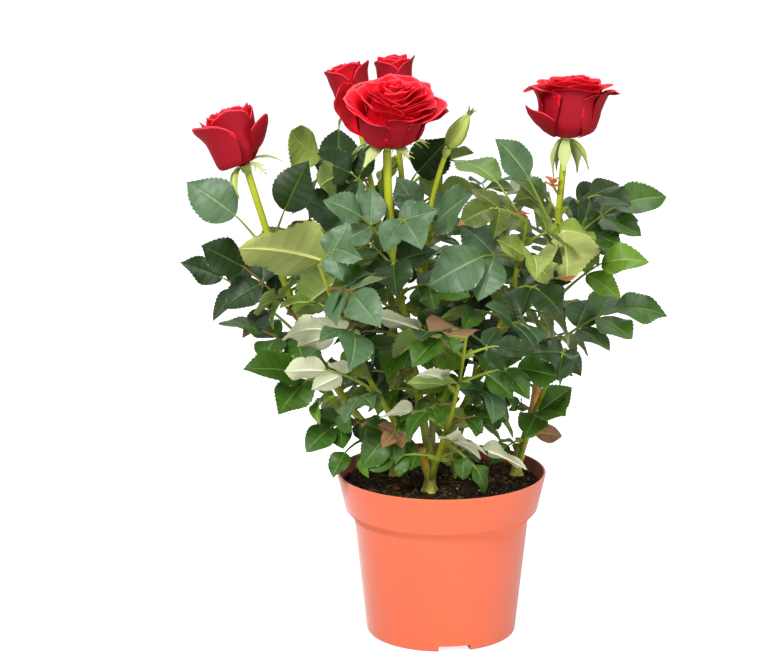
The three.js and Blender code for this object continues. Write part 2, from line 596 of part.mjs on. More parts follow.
// The leaf that the rule would put at one place on a shoot. Each try turns it a little and makes it smaller.
function ruleLeaf(name, order, place, share, attempt) {
  const dice = new Dice(order * 1000 + place * 10 + attempt);
  const root = CURVES[name].getPoint(share);
  const swing = dice.between(-LEAF.turnSwing, LEAF.turnSwing) + attempt * LEAF.retryTurn;
  const turn = rad(order * LEAF.phase + place * LEAF.turn + swing);
  const [x, y] = CROWN_REACH.middle;
  const out = new THREE.Vector3(root.x - x, root.y - y, 0).normalize();
  const heading = new THREE.Vector3(Math.cos(turn), Math.sin(turn), 0);
  heading.addScaledVector(out, LEAF.outward).normalize();
  const shrink = 1 - LEAF.retryShrink * attempt;
  const length = along(LEAF.lengthAt, LEAF.length, root.z) * dice.between(...LEAF.spread) * shrink;
  const count = LEAF.counts[Math.floor(dice.roll() * LEAF.counts.length)];
  const height = (root.z - POT.height) / (CROWN_REACH.heights.at(-1) - POT.height);
  const tilt = rad(lerp(...LEAF.tilt, height) + dice.between(-LEAF.tiltSwing, LEAF.tiltSwing));
  const reach = length * (1 + LEAF.stalk[count]);
  const tip = root.clone().addScaledVector(heading, reach * Math.cos(tilt));
  tip.addScaledVector(UP, reach * Math.sin(tilt));
  const face = new THREE.Vector3(0, 0, LEAF.upward).addScaledVector(out, LEAF.lean).add(new THREE.Vector3(
    dice.between(-LEAF.swing, LEAF.swing), dice.between(-LEAF.swing, LEAF.swing), 0)).normalize();
  return planLeaf(name, root, tip, face, count, length);
}

// All leaves of the bush: first the guides, then the rule's, and only those that fit where they come.
function planLeaves() {
  const room = new Room();
  for (const [name, curve] of Object.entries(CURVES)) {
    const beads = Math.ceil(curve.getLength() / CLEAR.step);
    for (let i = 0; i <= beads; i += 1) {
      const share = i / beads;
      room.beads.push({ at: curve.getPoint(share), radius: shootRadius(SHOOTS[name], share), shoot: name });
    }
    const flower = FLOWERS[SHOOTS[name].flower];
    if (flower) {
      const lift = flower.height * CLEAR.bloomMiddle;
      const middle = curve.getPoint(1).addScaledVector(vec(flower.axis).normalize(), lift);
      room.beads.push({ at: middle, radius: flower.width * CLEAR.bloom, shoot: name });
    }
  }
  const leaves = [];
  const keep = (leaf) => {
    room.take(leaf);
    leaves.push(leaf);
  };
  for (const guide of GUIDES) {
    const { shoot, at, tip, face, count, length } = guide;
    keep(planLeaf(shoot, CURVES[shoot].getPoint(at), vec(tip), vec(face).normalize(), count, length));
  }
  Object.entries(SHOOTS).forEach(([name, { leafy, flower }], order) => {
    const places = Math.round((CURVES[name].getLength() * (leafy[1] - leafy[0])) / LEAF.spacing);
    const last = flower ? leafy[1] - LEAF.inset : 1;
    for (let place = 0; place < places; place += 1) {
      const share = lerp(leafy[0] + LEAF.inset, last, place / (places - 1));
      for (let attempt = 0; attempt < LEAF.tries; attempt += 1) {
        const leaf = ruleLeaf(name, order, place, share, attempt);
        if (room.fits(leaf) && leaf.blades.every((blade) => insideCrown(blade.samples.at(-1)))) {
          keep(leaf);
          break;
        }
      }
    }
  });
  return leaves;
}

// The whole leaf as one skin: the stalk from its root past each pair of leaflets to the end leaflet.
function leafSolid({ path, end, blades, pairShares, face }) {
  const { stalkRadius: half } = LEAF;
  const skin = new Skin();
  const stations = [0, ...pairShares, end].map((share, order) => {
    const at = path.getPoint(share);
    const onward = path.getPoint(share + AHEAD.station).sub(at).normalize();
    const n = face.clone().addScaledVector(onward, -face.dot(onward)).normalize();
    const aside = n.clone().cross(onward);
    const paired = order > 0 && share < end;
    const beside = (side, ahead) => skin.rim(at.clone()
      .addScaledVector(aside, side * half).addScaledVector(onward, ahead * half));
    const left = [beside(1, paired ? -1 : 0)];
    const right = [beside(-1, paired ? -1 : 0)];
    if (paired) {
      left.push(beside(1, 1));
      right.push(beside(-1, 1));
    }
    return { middle: skin.core(at, n, LEAF.stalkDepth), left, right };
  });
  const last = stations.length - 1;
  skin.fan(stations[0].middle, [stations[0].left[0], stations[0].right[0]]);
  for (let j = 0; j < last; j += 1) {
    const here = stations[j];
    const next = stations[j + 1];
    skin.fan(here.middle, [next.middle, next.left[0], here.left.at(-1)]);
    skin.fan(here.middle, [here.right.at(-1), next.right[0], next.middle]);
  }
  const [endBlade, ...sideBlades] = blades;
  sideBlades.forEach((blade, k) => {
    const { middle, left, right } = stations[1 + Math.floor(k / 2)];
    if (k % 2 === 0) skin.blade(blade, middle, left[1], left[0]);
    else skin.blade(blade, middle, right[0], right[1]);
  });
  skin.blade(endBlade, stations[last].middle, stations[last].right[0], stations[last].left[0]);
  return skin.solid();
}

// ---------------------------------------------------------------- flowers

// Moves a shape built on the Z axis to a flower's place and turns it to face along the flower's axis.
function atFlower(point, axis) {
  const turn = new THREE.Quaternion().setFromUnitVectors(UP, vec(axis).normalize());
  return new THREE.Matrix4().compose(point, turn, new THREE.Vector3(1, 1, 1));
}

function placed(solid, matrix) {
  return solid.transform(matrix.elements);
}

function bloomSolid({ width, height, form, steps }) {
  const { petals, notchDrop, notchSharpness, heart } = BLOOM;
  const points = [new THREE.Vector3(0, 0, 0)];
  for (const [r, z, notch, turn] of BLOOM_FORMS[form]) {
    for (let k = 0; k < steps; k += 1) {
      const angle = (2 * Math.PI * k) / steps;
      const swell = Math.abs(Math.cos((petals / 2) * angle + (turn * Math.PI) / 2)) ** notchSharpness;
      const radius = (r * (1 - notch * (1 - swell)) * width) / 2;
      points.push(new THREE.Vector3(radius * Math.cos(angle), radius * Math.sin(angle),
        z * height * (1 - notch * notchDrop * (1 - swell))));
    }
  }
  const top = points.push(new THREE.Vector3(0, 0, height * heart)) - 1;
  const faces = [];
  for (let k = 0; k < steps; k += 1) {
    const next = (k + 1) % steps;
    faces.push([0, 1 + next, 1 + k], [top, top - steps + k, top - steps + next]);
    for (let low = 1; low + steps < top; low += steps) {
      faces.push([low + k, low + next, low + steps + next], [low + k, low + steps + next, low + steps + k]);
    }
  }
  return toSolid(closedGeometry(points, faces));
}

// The bud is a pointed egg.
function budSolid({ width, height }) {
  return turned(BUD.outline.map(([r, z]) => [(r * width) / 2, z * height]), BUD.sides);
}

// A sepal that leaves the calyx at this angle, on a flower that looks up.
function sepalSolid(angle, drop, size) {
  const { length, width, at, half, fold } = SEPAL;
  const u = new THREE.Vector3(Math.cos(angle), Math.sin(angle), -drop).normalize();
  const v = new THREE.Vector3(-Math.sin(angle), Math.cos(angle), 0);
  const base = u.clone().multiplyScalar(CALYX.radius * at[0]).setZ(CALYX.height * at[1]);
  const n = u.clone().cross(v);
  const skin = new Skin();
  const foot = skin.core(base, n, LEAF.thickness);
  const sides = [-half, half].map((side) => skin.rim(base.clone().addScaledVector(v, side)));
  skin.fan(foot, [sides[1], sides[0]]);
  const blade = { base, along: u, across: v, face: n, length: length * size, width: width * size, fold };
  skin.blade(blade, foot, ...sides);
  return skin.solid();
}

// The stalk of a flower with its swollen top and its sepals.
function flowerStem(name, flower) {
  const from = SHOOTS[name].leafy[1] + gapShare(name);
  const { radius, height, foot, waist, belly, collar, onBud } = CALYX;
  const place = atFlower(CURVES[name].getPoint(1), flower.axis);
  const size = flower.form === 'bud' ? onBud : 1;
  const swell = turned([
    [0, -foot], [radius * waist, -foot], [radius * size, height * belly], [radius * size * collar, height],
    [0, height],
  ], CALYX.sides);
  const solids = [stretch(name, from, 1, FLOWER_STALK), placed(swell, place)];
  for (let k = 0; k < SEPAL.count; k += 1) {
    const angle = rad((360 * k) / SEPAL.count + SEPAL.firstAngle);
    solids.push(placed(sepalSolid(angle, SEPAL.drops[k % 2], size), place));
  }
  return fuse(solids);
}

// ---------------------------------------------------------------- assembly

const plant = new THREE.Group();
const built = []; // every plant solid so far, which later ones keep clear of

function addNode(group, name, solid, colour, roughness) {
  group.add(toMesh(name, solid, colour, roughness));
  built.push(solid);
}

const container = new THREE.Group();
container.add(toMesh('pot', potSolid(), COLOURS.pot, 0.45));
container.add(toMesh('potting_mix', mainBody(soilSolid()), COLOURS.soil, 1));
plant.add(container);

const limbs = new THREE.Group();
for (const [name, crown] of Object.entries(CROWNS)) {
  addNode(limbs, `crown_${name}`, crownSolid(crown, 0), COLOURS.crown, 0.8);
}

// Each cane starts inside its crown, so it is cut back to the crown's skin and to its neighbours'.
const swollen = Object.values(CROWNS).map((crown) => crownSolid(crown, GAP));
for (const [name, { leafy }] of Object.entries(SHOOTS)) {
  const cane = stretch(name, 0, leafy[0], CANE);
  addNode(limbs, `cane_${name}`, mainBody(swollen.reduce((rest, other) => rest.subtract(other), cane)),
    COLOURS.cane, 0.7);
  swollen.push(stretch(name, 0, leafy[0], CANE, GAP));
}
plant.add(limbs);

const flowers = new THREE.Group();
for (const [name, shoot] of Object.entries(SHOOTS)) {
  if (shoot.flower) {
    const flower = FLOWERS[shoot.flower];
    const place = atFlower(CURVES[name].getPoint(1), flower.axis);
    const lifted = new THREE.Matrix4().makeTranslation(0, 0, CALYX.height + GAP).premultiply(place);
    addNode(flowers, `flower_stem_${name}`, flowerStem(name, flower), COLOURS.stem, 0.6);
    const bud = flower.form === 'bud';
    const solid = placed(bud ? budSolid(flower) : bloomSolid(flower), lifted);
    addNode(flowers, shoot.flower, solid, bud ? COLOURS.bud : COLOURS.petal, 0.7);
  }
}
plant.add(flowers);

// A shoot's stem stands clear of its cane below and of its flower stem above. Its leaves are fused to it.
const foliage = new THREE.Group();
const leaves = planLeaves();
const stems = Object.keys(SHOOTS).map((name) => {
  const [from, to] = SHOOTS[name].leafy;
  return stretch(name, from + gapShare(name), to, STEM);
});
Object.keys(SHOOTS).forEach((name, order) => {
  let solid = stems[order];
  const others = [...built, ...stems.filter((stem, k) => k > order)];
  for (const leaf of leaves.filter(({ shoot }) => shoot === name)) {
    const grown = leafSolid(leaf);
    if (!others.some((other) => touches(grown, other))) solid = solid.add(grown);
  }
  addNode(foliage, `shoot_${name}`, mainBody(solid), COLOURS.leaf, 0.55);
});
plant.add(foliage);

export default plant;
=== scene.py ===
"""A rose bush in its nursery pot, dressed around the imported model.

Four rooted cuttings share the pot. Their canes, shoots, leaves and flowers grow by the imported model's own
rule, and are carried on here to bark, thorns, serrated leaflets, sepals and petals. Growth is worked out
in millimetres, +Z up, with the middle of the pot's underside at the origin. Meshes are made in metres.
"""

import logging
import math
from dataclasses import dataclass, field, replace
from enum import Enum, IntEnum

import bpy
import numpy as np
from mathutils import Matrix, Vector, noise


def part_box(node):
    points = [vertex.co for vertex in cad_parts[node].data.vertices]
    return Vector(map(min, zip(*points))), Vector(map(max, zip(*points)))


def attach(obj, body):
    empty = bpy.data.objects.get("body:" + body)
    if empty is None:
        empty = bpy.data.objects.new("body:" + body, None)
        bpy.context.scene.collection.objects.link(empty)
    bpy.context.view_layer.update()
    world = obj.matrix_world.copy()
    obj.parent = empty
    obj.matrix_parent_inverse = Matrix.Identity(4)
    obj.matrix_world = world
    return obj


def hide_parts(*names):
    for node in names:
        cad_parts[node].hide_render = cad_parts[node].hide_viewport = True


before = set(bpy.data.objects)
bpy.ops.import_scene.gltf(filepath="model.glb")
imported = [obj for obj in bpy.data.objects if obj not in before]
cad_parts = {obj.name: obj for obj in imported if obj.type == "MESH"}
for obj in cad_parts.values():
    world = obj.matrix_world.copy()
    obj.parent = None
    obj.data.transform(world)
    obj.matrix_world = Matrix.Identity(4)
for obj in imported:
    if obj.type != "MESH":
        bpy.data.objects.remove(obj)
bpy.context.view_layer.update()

MM = 0.001
Array = np.ndarray
Pair = tuple[float, float]
Triple = tuple[float, float, float]
Colour = tuple[float, float, float, float]
Thing = bpy.types.Object
Node = bpy.types.Node
Material = bpy.types.Material
Socket = str | int  # an input or output, by name or place
UP = np.array((0.0, 0.0, 1.0))
WHITE = (1.0, 1.0, 1.0, 1.0)
GOLDEN_TURN = math.radians(137.5)
PIECE_FULL = 120_000  # triangles after which a joined piece of leaves takes no further shoot
SHARP = math.radians(48)  # faces that meet more sharply keep their edge
log = logging.getLogger("rose_bush")


# ------------------------------------------------------------------ numbers and vectors


def vec(*values: float) -> Array:
    """Returns a point or direction as an array."""
    return np.array(values, float)


def unit(direction: Array) -> Array:
    """Returns the direction at length one."""
    return direction / np.linalg.norm(direction, axis=-1, keepdims=True)


def around(angle: float, rise: float = 0.0) -> Array:
    """Returns the level direction at an angle round the Z axis, with a rise added to it."""
    return vec(math.cos(angle), math.sin(angle), rise)


def steps(count: int) -> Array:
    """Returns evenly spread shares from 0 to 1, as a column."""
    return np.linspace(0, 1, count)[:, None]


def arc(start: Array, crest: Array, end: Array, t: Array) -> Array:
    """Returns points of the curve that leaves start and reaches end, drawn towards the crest."""
    return (1 - t) ** 2 * start + 2 * (1 - t) * t * crest + t * t * end


def lerp(low: float, high: float, share: float) -> float:
    """Returns the value that lies the share of the way from low to high."""
    return low + (high - low) * share


def flat_part(direction: Array, normal: Array) -> Array:
    """Returns the unit part of a direction that lies square to the unit normal."""
    return unit(direction - normal * np.dot(direction, normal))


def turn_to(axis: Array) -> Array:
    """Returns the smallest turn that takes +Z to the axis.

    Args:
        axis: The direction that +Z is to reach.

    Returns:
        The turn as a matrix of three rows.
    """
    return np.array(Vector((0, 0, 1)).rotation_difference(Vector(unit(axis))).to_matrix())


class Seed(IntEnum):
    """Where each kind of thing starts to number its own runs of dice."""

    MIX = 7
    BLOOMS = 40
    STUBS = 70
    LIMBS = 500
    SEPALS = 800
    LEAVES = 90_000
    TUFTS = 95_000


class Dice:
    """A repeatable source of random numbers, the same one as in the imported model's rule."""

    MULTIPLIER, STEP, WRAP, SPREAD = 1664525, 1013904223, 2**32, 2654435761

    def __init__(self, seed: int) -> None:
        """Starts the numbers of one seed.

        Args:
            seed: A whole number; each seed gives its own run.
        """
        self.state = (seed + 1) * self.SPREAD % self.WRAP
        self.roll()
        self.roll()

    def roll(self) -> float:
        """Returns the next number, from 0 up to 1."""
        self.state = (self.state * self.MULTIPLIER + self.STEP) % self.WRAP
        return self.state / self.WRAP

    def between(self, low: float, high: float) -> float:
        """Returns the next number, spread from low to high."""
        return low + (high - low) * self.roll()

    def pick(self, weights: tuple[float, ...]) -> int:
        """Draws an index by its weight.

        Args:
            weights: A weight for each index.

        Returns:
            The index.
        """
        left = self.roll() * sum(weights)
        for index, weight in enumerate(weights):
            left -= weight
            if left < 0:
                return index
        return len(weights) - 1


# ------------------------------------------------------------------ meshes


@dataclass
class Patch:
    """A stretch of mesh: points in millimetres, and faces of four corners, or three and a last one of -1."""

    points: Array
    faces: Array

    def moved(self, turn: Array, to: Array) -> "Patch":
        """Returns the patch after a turn and a move.

        Args:
            turn: A matrix of three rows.
            to: Where the patch's origin goes.

        Returns:
            The moved patch.
        """
        return Patch(self.points @ turn.T + to, self.faces)


class Joiner:
    """Gathers patches into one mesh object, each face with the finish it asks for."""

    def __init__(self, name: str, finishes: list[Material]) -> None:
        """Starts an empty piece.

        Args:
            name: The piece's name.
            finishes: Its materials, which faces name by their place in this list.
        """
        self.name = name
        self.finishes = finishes
        self.points: list[Array] = []
        self.faces: list[Array] = []
        self.skins: list[Array] = []
        self.size = 0

    def add(self, patch: Patch, skins: Array | int = 0) -> None:
        """Adds one patch.

        Args:
            patch: The patch.
            skins: The finish of all its faces, or one for each face.
        """
        shift = np.where(patch.faces >= 0, patch.faces + self.size, patch.faces)
        self.points.append(patch.points)
        self.faces.append(shift)
        self.skins.append(np.full(len(patch.faces), skins) if np.isscalar(skins) else np.asarray(skins))
        self.size += len(patch.points)

    def triangles(self) -> int:
        """Returns how many triangles the piece has so far."""
        return int(sum(len(f) + np.count_nonzero(f[:, 3] >= 0) for f in self.faces))

    def build(self) -> Thing:
        """Makes the object, in metres, with smooth faces.

        Returns:
            The new object, linked to the scene.
        """
        faces = np.concatenate(self.faces)
        corners = faces >= 0
        sizes = corners.sum(1)
        mesh = bpy.data.meshes.new(self.name)
        mesh.vertices.add(self.size)
        mesh.vertices.foreach_set("co", (np.concatenate(self.points) * MM).astype(np.float32).ravel())
        mesh.loops.add(int(sizes.sum()))
        mesh.loops.foreach_set("vertex_index", faces[corners].astype(np.int32))
        mesh.polygons.add(len(faces))
        mesh.polygons.foreach_set("loop_start", (np.cumsum(sizes) - sizes).astype(np.int32))
        mesh.polygons.foreach_set("material_index", np.concatenate(self.skins).astype(np.int32))
        mesh.polygons.foreach_set("use_smooth", np.ones(len(faces), bool))
        for finish in self.finishes:
            mesh.materials.append(finish)
        mesh.update(calc_edges=True)
        mesh.validate()
        mesh.set_sharp_from_angle(angle=SHARP)
        made = bpy.data.objects.new(self.name, mesh)
        bpy.context.scene.collection.objects.link(made)
        return made


def grid_faces(rows: int, columns: int, ring: bool = False) -> Array:
    """Lists the faces of points laid out row by row.

    Args:
        rows: How many rows of points there are.
        columns: How many points a row has.
        ring: Whether each row closes on itself.

    Returns:
        Faces of four corners, row after row.
    """
    across = columns if ring else columns - 1
    low = (np.arange(rows - 1)[:, None] * columns + np.arange(across)).ravel()
    beside = (np.arange(rows - 1)[:, None] * columns + (np.arange(across) + 1) % columns).ravel()
    return np.stack((low, beside, beside + columns, low + columns), 1)


def fan_faces(middle: int, ring: Array, turned: bool = False) -> Array:
    """Lists the triangles from one point to a closed ring of points.

    Args:
        middle: The index of the point.
        ring: The indices round it.
        turned: Whether the faces look the other way.

    Returns:
        Triangles, each with a last corner of -1.
    """
    after = np.roll(ring, -1)
    first, second = (after, ring) if turned else (ring, after)
    return np.stack((np.full(len(ring), middle), first, second, np.full(len(ring), -1)), 1)


def closed_faces(rows: int, sides: int, turned: bool = False) -> Array:
    """Lists the faces of closed rows of points that end in one point each, the two last ones.

    Args:
        rows: How many rows there are.
        sides: How many points a row has.
        turned: Whether the faces look the other way.

    Returns:
        The faces of the wall and of its two ends.
    """
    last = rows * sides
    wall = grid_faces(rows, sides, ring=True)
    return np.concatenate((
        wall[:, ::-1] if turned else wall,
        fan_faces(last, np.arange(sides), turned=not turned),
        fan_faces(last + 1, np.arange(last - sides, last), turned=turned),
    ))


def sweep(path: Array, radii: Array, sides: int) -> Patch:
    """Makes a round closed limb along a path.

    Args:
        path: Its middle line, as rows of points.
        radii: A radius for each point, or a row of one radius for each side.
        sides: How many sides its section has.

    Returns:
        The limb as a patch.
    """
    ahead = unit(np.gradient(path, axis=0))
    side = vec(1, 0, 0) if abs(ahead[0][0]) < 0.9 else vec(0, 1, 0)
    sideways = []
    for direction in ahead:
        side = flat_part(side, direction)
        sideways.append(side)
    sideways = np.array(sideways)
    third = np.cross(ahead, sideways)
    angles = np.arange(sides) * 2 * math.pi / sides
    widths = np.broadcast_to(np.asarray(radii, float).reshape(len(path), -1), (len(path), sides))[..., None]
    rings = (
        path[:, None]
        + widths * np.cos(angles)[None, :, None] * sideways[:, None]
        + widths * np.sin(angles)[None, :, None] * third[:, None]
    )
    points = np.concatenate((rings.reshape(-1, 3), path[:1], path[-1:]))
    return Patch(points, closed_faces(len(path), sides))


def lathe(profile: Array, sides: int) -> Patch:
    """Turns an outline round the Z axis.

    Args:
        profile: Rows of radius and height, from its lower end on the axis to its upper end on the axis.
        sides: How many sides the turned shape has.

    Returns:
        The closed shape as a patch.
    """
    angles = np.arange(sides) * 2 * math.pi / sides
    inner = profile[1:-1]
    rings = np.stack((
        inner[:, :1] * np.cos(angles), inner[:, :1] * np.sin(angles), inner[:, 1:] * np.ones(sides),
    ), 2).reshape(-1, 3)
    poles = np.array([(0, 0, profile[0][1]), (0, 0, profile[-1][1])])
    return Patch(np.concatenate((rings, poles)), closed_faces(len(inner), sides))


def shell(upper: Array, lower: Array) -> tuple[Patch, int]:
    """Closes two grids of points that share their border into one thin body.

    Args:
        upper: The upper face as rows of points.
        lower: The lower face, of the same shape. Its border is left out.

    Returns:
        The body, and how many of its faces, which come first, are upper ones.
    """
    rows, columns = upper.shape[:2]
    index = np.arange(rows * columns).reshape(rows, columns)
    below = index.copy()
    below[1:-1, 1:-1] = rows * columns + np.arange((rows - 2) * (columns - 2)).reshape(rows - 2, columns - 2)
    faces = grid_faces(rows, columns)
    under = below.ravel()[faces]
    points = np.concatenate((upper.reshape(-1, 3), lower[1:-1, 1:-1].reshape(-1, 3)))
    return Patch(points, np.concatenate((faces[:, ::-1], under))), len(faces)


def smooth_line(stops: Array, knots: Array, at: Array) -> Array:
    """Reads a smooth line through some points.

    Args:
        stops: Where on the line each point lies, rising.
        knots: The points, one row each.
        at: Where to read it; an array of any shape.

    Returns:
        The line there, with the knots' columns as the last axis.
    """
    slopes = np.gradient(knots, stops, axis=0)
    k = np.clip(np.searchsorted(stops, at, side="right") - 1, 0, len(stops) - 2)
    width = stops[k + 1] - stops[k]
    t = ((at - stops[k]) / width)[..., None]
    span = width[..., None]
    return (
        (2 * t**3 - 3 * t**2 + 1) * knots[k] + (t**3 - 2 * t**2 + t) * span * slopes[k]
        + (3 * t**2 - 2 * t**3) * knots[k + 1] + (t**3 - t**2) * span * slopes[k + 1]
    )


# ------------------------------------------------------------------ how the bush grows


class Slot(Enum):
    """The material slots."""

    POT = "pot_plastic"
    SOIL = "potting_mix"
    CROWN = "crown_bark"
    CANE = "cane_bark"
    STEM = "green_stem"
    LEAF = "leaf"
    PETAL = "petal"
    BUD = "bud_green"


@dataclass(frozen=True)
class PotSize:
    """The pot's measures in millimetres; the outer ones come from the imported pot."""

    height: float
    rim_radius: float
    base_radius: float = 46.4
    shoulder_radius: float = 54.2
    shoulder: float = 74.0
    band_radius: float = 59.8
    band_foot: float = 80.0
    wall: float = 1.5
    floor: float = 1.8

    @classmethod
    def packed(cls) -> "PotSize":
        """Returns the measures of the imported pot."""
        low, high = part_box("pot")
        return cls(height=round((high.z - low.z) / MM, 2), rim_radius=round(high.x / MM, 2))

    def radius_at(self, z: float | Array) -> float | Array:
        """Returns the outer radius at a height."""
        heights = (0.0, self.shoulder, self.band_foot, self.height)
        radii = (self.base_radius, self.shoulder_radius, self.band_radius, self.rim_radius)
        return np.interp(z, heights, radii)

    def inside_at(self, z: float, clear: float) -> float:
        """Returns the radius that lies clear of the wall's inside at a height."""
        return float(self.radius_at(z)) - self.wall - clear


POT = PotSize.packed()
SEAT = 97.0  # how high the mix is under the crowns
GAP = 0.3
CROWN_UPRIGHT = 0.25
BEND = 0.36  # how far along a shoot its end directions hold it
LOW_LEAVES = 150.0  # the height under which leaves are blunter, and of other tones


@dataclass(frozen=True)
class Crown:
    """The woody foot of one rooted cutting."""

    at: Pair
    radius: float
    height: float
    lean: Pair
    snag: Triple | None = None  # where its longest pruned stub ends, if it has one

    def point(self, share: float) -> Array:
        """Finds a point of the crown's middle line.

        Args:
            share: How far up the crown it lies.

        Returns:
            The point.
        """
        slant = max(0.0, share - CROWN_UPRIGHT)
        return vec(
            self.at[0] + self.lean[0] * slant, self.at[1] + self.lean[1] * slant,
            SEAT + GAP + self.height * share,
        )


CROWNS = {
    "front": Crown((-7, -25), 4.4, 17, (1, 0), (-12, -33, 125)),
    "right": Crown((47, 13), 3.7, 14, (3, -1)),
    "left": Crown((-29, 11), 3.9, 14, (-3, 1)),
    "back": Crown((6, 37), 3.9, 14, (0, 3)),
}


class Flower(Enum):
    """The flowers, by the names of their nodes."""

    OPEN = "open_bloom"
    SIDE = "side_bloom"
    LEANING = "leaning_bloom"
    CUPPED = "cupped_bloom"
    NARROW = "narrow_bloom"
    BUD = "green_bud"


@dataclass(frozen=True)
class FlowerSize:
    """The way a flower looks, and the width and height of its petals."""

    axis: Triple
    width: float
    height: float


FLOWERS = {
    Flower.OPEN: FlowerSize((0.1, -0.36, 0.93), 66, 37),
    Flower.SIDE: FlowerSize((0.03, 0.02, 1), 57, 37),
    Flower.LEANING: FlowerSize((-0.34, -0.1, 0.93), 46, 38),
    Flower.CUPPED: FlowerSize((-0.26, 0.1, 0.96), 34, 33),
    Flower.NARROW: FlowerSize((0.02, 0.05, 1), 30, 31),
    Flower.BUD: FlowerSize((0.35, -0.05, 0.93), 14, 25),
}


@dataclass(frozen=True)
class Shoot:
    """One smooth stem from the crown that bears it to its tip."""

    name: str
    crown: str
    foot: float
    tip: Triple
    start: Triple
    end: Triple
    radius: Pair
    leafy: Pair
    flower: Flower | None = None

    def bones(self) -> Array:
        """Finds the four points that the stem's curve is drawn from.

        Returns:
            The points, one row each.
        """
        low = CROWNS[self.crown].point(self.foot)
        high = vec(*self.tip)
        reach = np.linalg.norm(high - low) * BEND
        first, second = unit(vec(*self.start)) * reach, unit(vec(*self.end)) * reach
        return np.array((low, low + first, high - second, high))

    def at(self, share: float | Array) -> Array:
        """Returns the point, or points, at a share of the stem."""
        t = np.asarray(share, float)[..., None]
        a, b, c, d = self.bones()
        return (1 - t) ** 3 * a + 3 * (1 - t) ** 2 * t * b + 3 * (1 - t) * t**2 * c + t**3 * d

    def length(self) -> float:
        """Returns how long the stem is."""
        return float(np.linalg.norm(np.diff(self.at(np.linspace(0, 1, 201)), axis=0), axis=1).sum())

    def thickness(self, share: float | Array) -> float | Array:
        """Returns the stem's radius at a share of it."""
        return lerp(*self.radius, share)

    def places(self, spacing: float) -> int:
        """Returns how many leaves stand on its leafy stretch at a spacing."""
        return int(self.length() * (self.leafy[1] - self.leafy[0]) / spacing + 0.5)


SHOOTS = [
    Shoot("tall_front", "front", 0.95, (-33, -32, 309), (-0.16, 0, 1), (0, -0.08, 1), (2.8, 1.8), (0.16, 0.8),
          Flower.OPEN),
    Shoot("wide_front", "front", 0.7, (50, -28, 266), (0.5, 0.06, 1), (0.1, -0.2, 1), (2.7, 1.2), (0.2, 1)),
    Shoot("budding", "front", 0.5, (1, -20, 303), (0.1, 0.5, 1), (0.35, 0, 1), (2.1, 1.5), (0.24, 0.8),
          Flower.BUD),
    Shoot("tall_right", "right", 0.95, (74, 0, 306), (0.3, -0.12, 1), (0.1, 0, 1), (2.7, 1.7), (0.2, 0.82),
          Flower.SIDE),
    Shoot("tall_left", "left", 0.95, (-117, -10, 291), (-0.95, -0.2, 1), (-0.3, 0, 1), (2.6, 1.6), (0.2, 0.8),
          Flower.LEANING),
    Shoot("tall_middle", "left", 0.6, (-52, 30, 318), (0.1, 0.3, 1), (-0.2, 0, 1), (2.4, 1.6), (0.24, 0.85),
          Flower.CUPPED),
    Shoot("tall_back", "back", 0.95, (-28, 50, 320), (-0.1, 0.1, 1), (0, 0, 1), (2.5, 1.6), (0.2, 0.85),
          Flower.NARROW),
    Shoot("low_left", "left", 0.45, (-90, -34, 184), (-0.8, -0.6, 1), (-0.8, -0.3, 1), (2, 1), (0.2, 1)),
    Shoot("low_right", "right", 0.6, (74, -40, 190), (0.2, -0.8, 1), (0.5, -0.3, 1), (2, 1), (0.2, 1)),
    Shoot("back_right", "right", 0.45, (74, 46, 252), (0.4, 0.6, 1), (0.3, 0.2, 1), (2.1, 1.1), (0.2, 1)),
    Shoot("back_left", "back", 0.6, (-62, 68, 250), (-0.7, 0.3, 1), (-0.3, 0.2, 1), (2.2, 1.1), (0.2, 1)),
    Shoot("far_back", "back", 0.4, (28, 78, 256), (0.5, 0.4, 1), (0.1, 0.2, 1), (2.2, 1.1), (0.2, 1)),
    Shoot("low_front", "front", 0.3, (14, -78, 206), (0.25, -0.6, 1), (0.1, -0.3, 1), (2, 1), (0.16, 1)),
    Shoot("front_left", "front", 0.55, (-72, -64, 246), (-0.6, -0.3, 1), (-0.3, -0.2, 1), (2.2, 1.1),
          (0.2, 1)),
]
SHOOT_NAMED = {shoot.name: shoot for shoot in SHOOTS}
FLOWER_STEMS = [f"flower_stem_{shoot.name}" for shoot in SHOOTS if shoot.flower]


class Tone(Enum):
    """The colours that leaves come in."""

    # a blue-green whose colour is partly painted sheen: the sky's reflection on leaves that catch it
    BLUE = 0
    DARK = 1
    MID = 2
    FRESH = 3
    LIME = 4
    OLIVE = 5
    CHALK = 6
    BRONZE = 7
    YOUNG = 8


@dataclass(frozen=True)
class Pose:
    """How a leaf hangs once all the leaves have found their room."""

    at: float
    tip: Triple
    face: Triple
    arch: float
    length: float

    def hang(self, leaf: "Leaf", root: Array) -> "Leaf":
        """Hangs a leaf in this pose.

        Args:
            leaf: The leaf.
            root: Where on its shoot its stalk starts.

        Returns:
            The leaf as it hangs now.
        """
        face = unit(vec(*self.face))
        hung = plan_leaf(leaf.shoot, root, vec(*self.tip), face, leaf.count, self.length, self.arch)
        hung.tone, hung.pair_tone = leaf.tone, leaf.pair_tone
        return hung


@dataclass(frozen=True)
class Guide:
    """A listed leaf: where it leaves its shoot, its tip, its upper side's look, its size and tone."""

    shoot: str
    at: float
    tip: Triple
    face: Triple
    count: int
    length: float
    tone: Tone
    roll: float = 0.0  # how far its leaflets turn about their midribs once they are placed, in degrees
    pair_tone: Tone | None = None
    pose: Pose | None = None


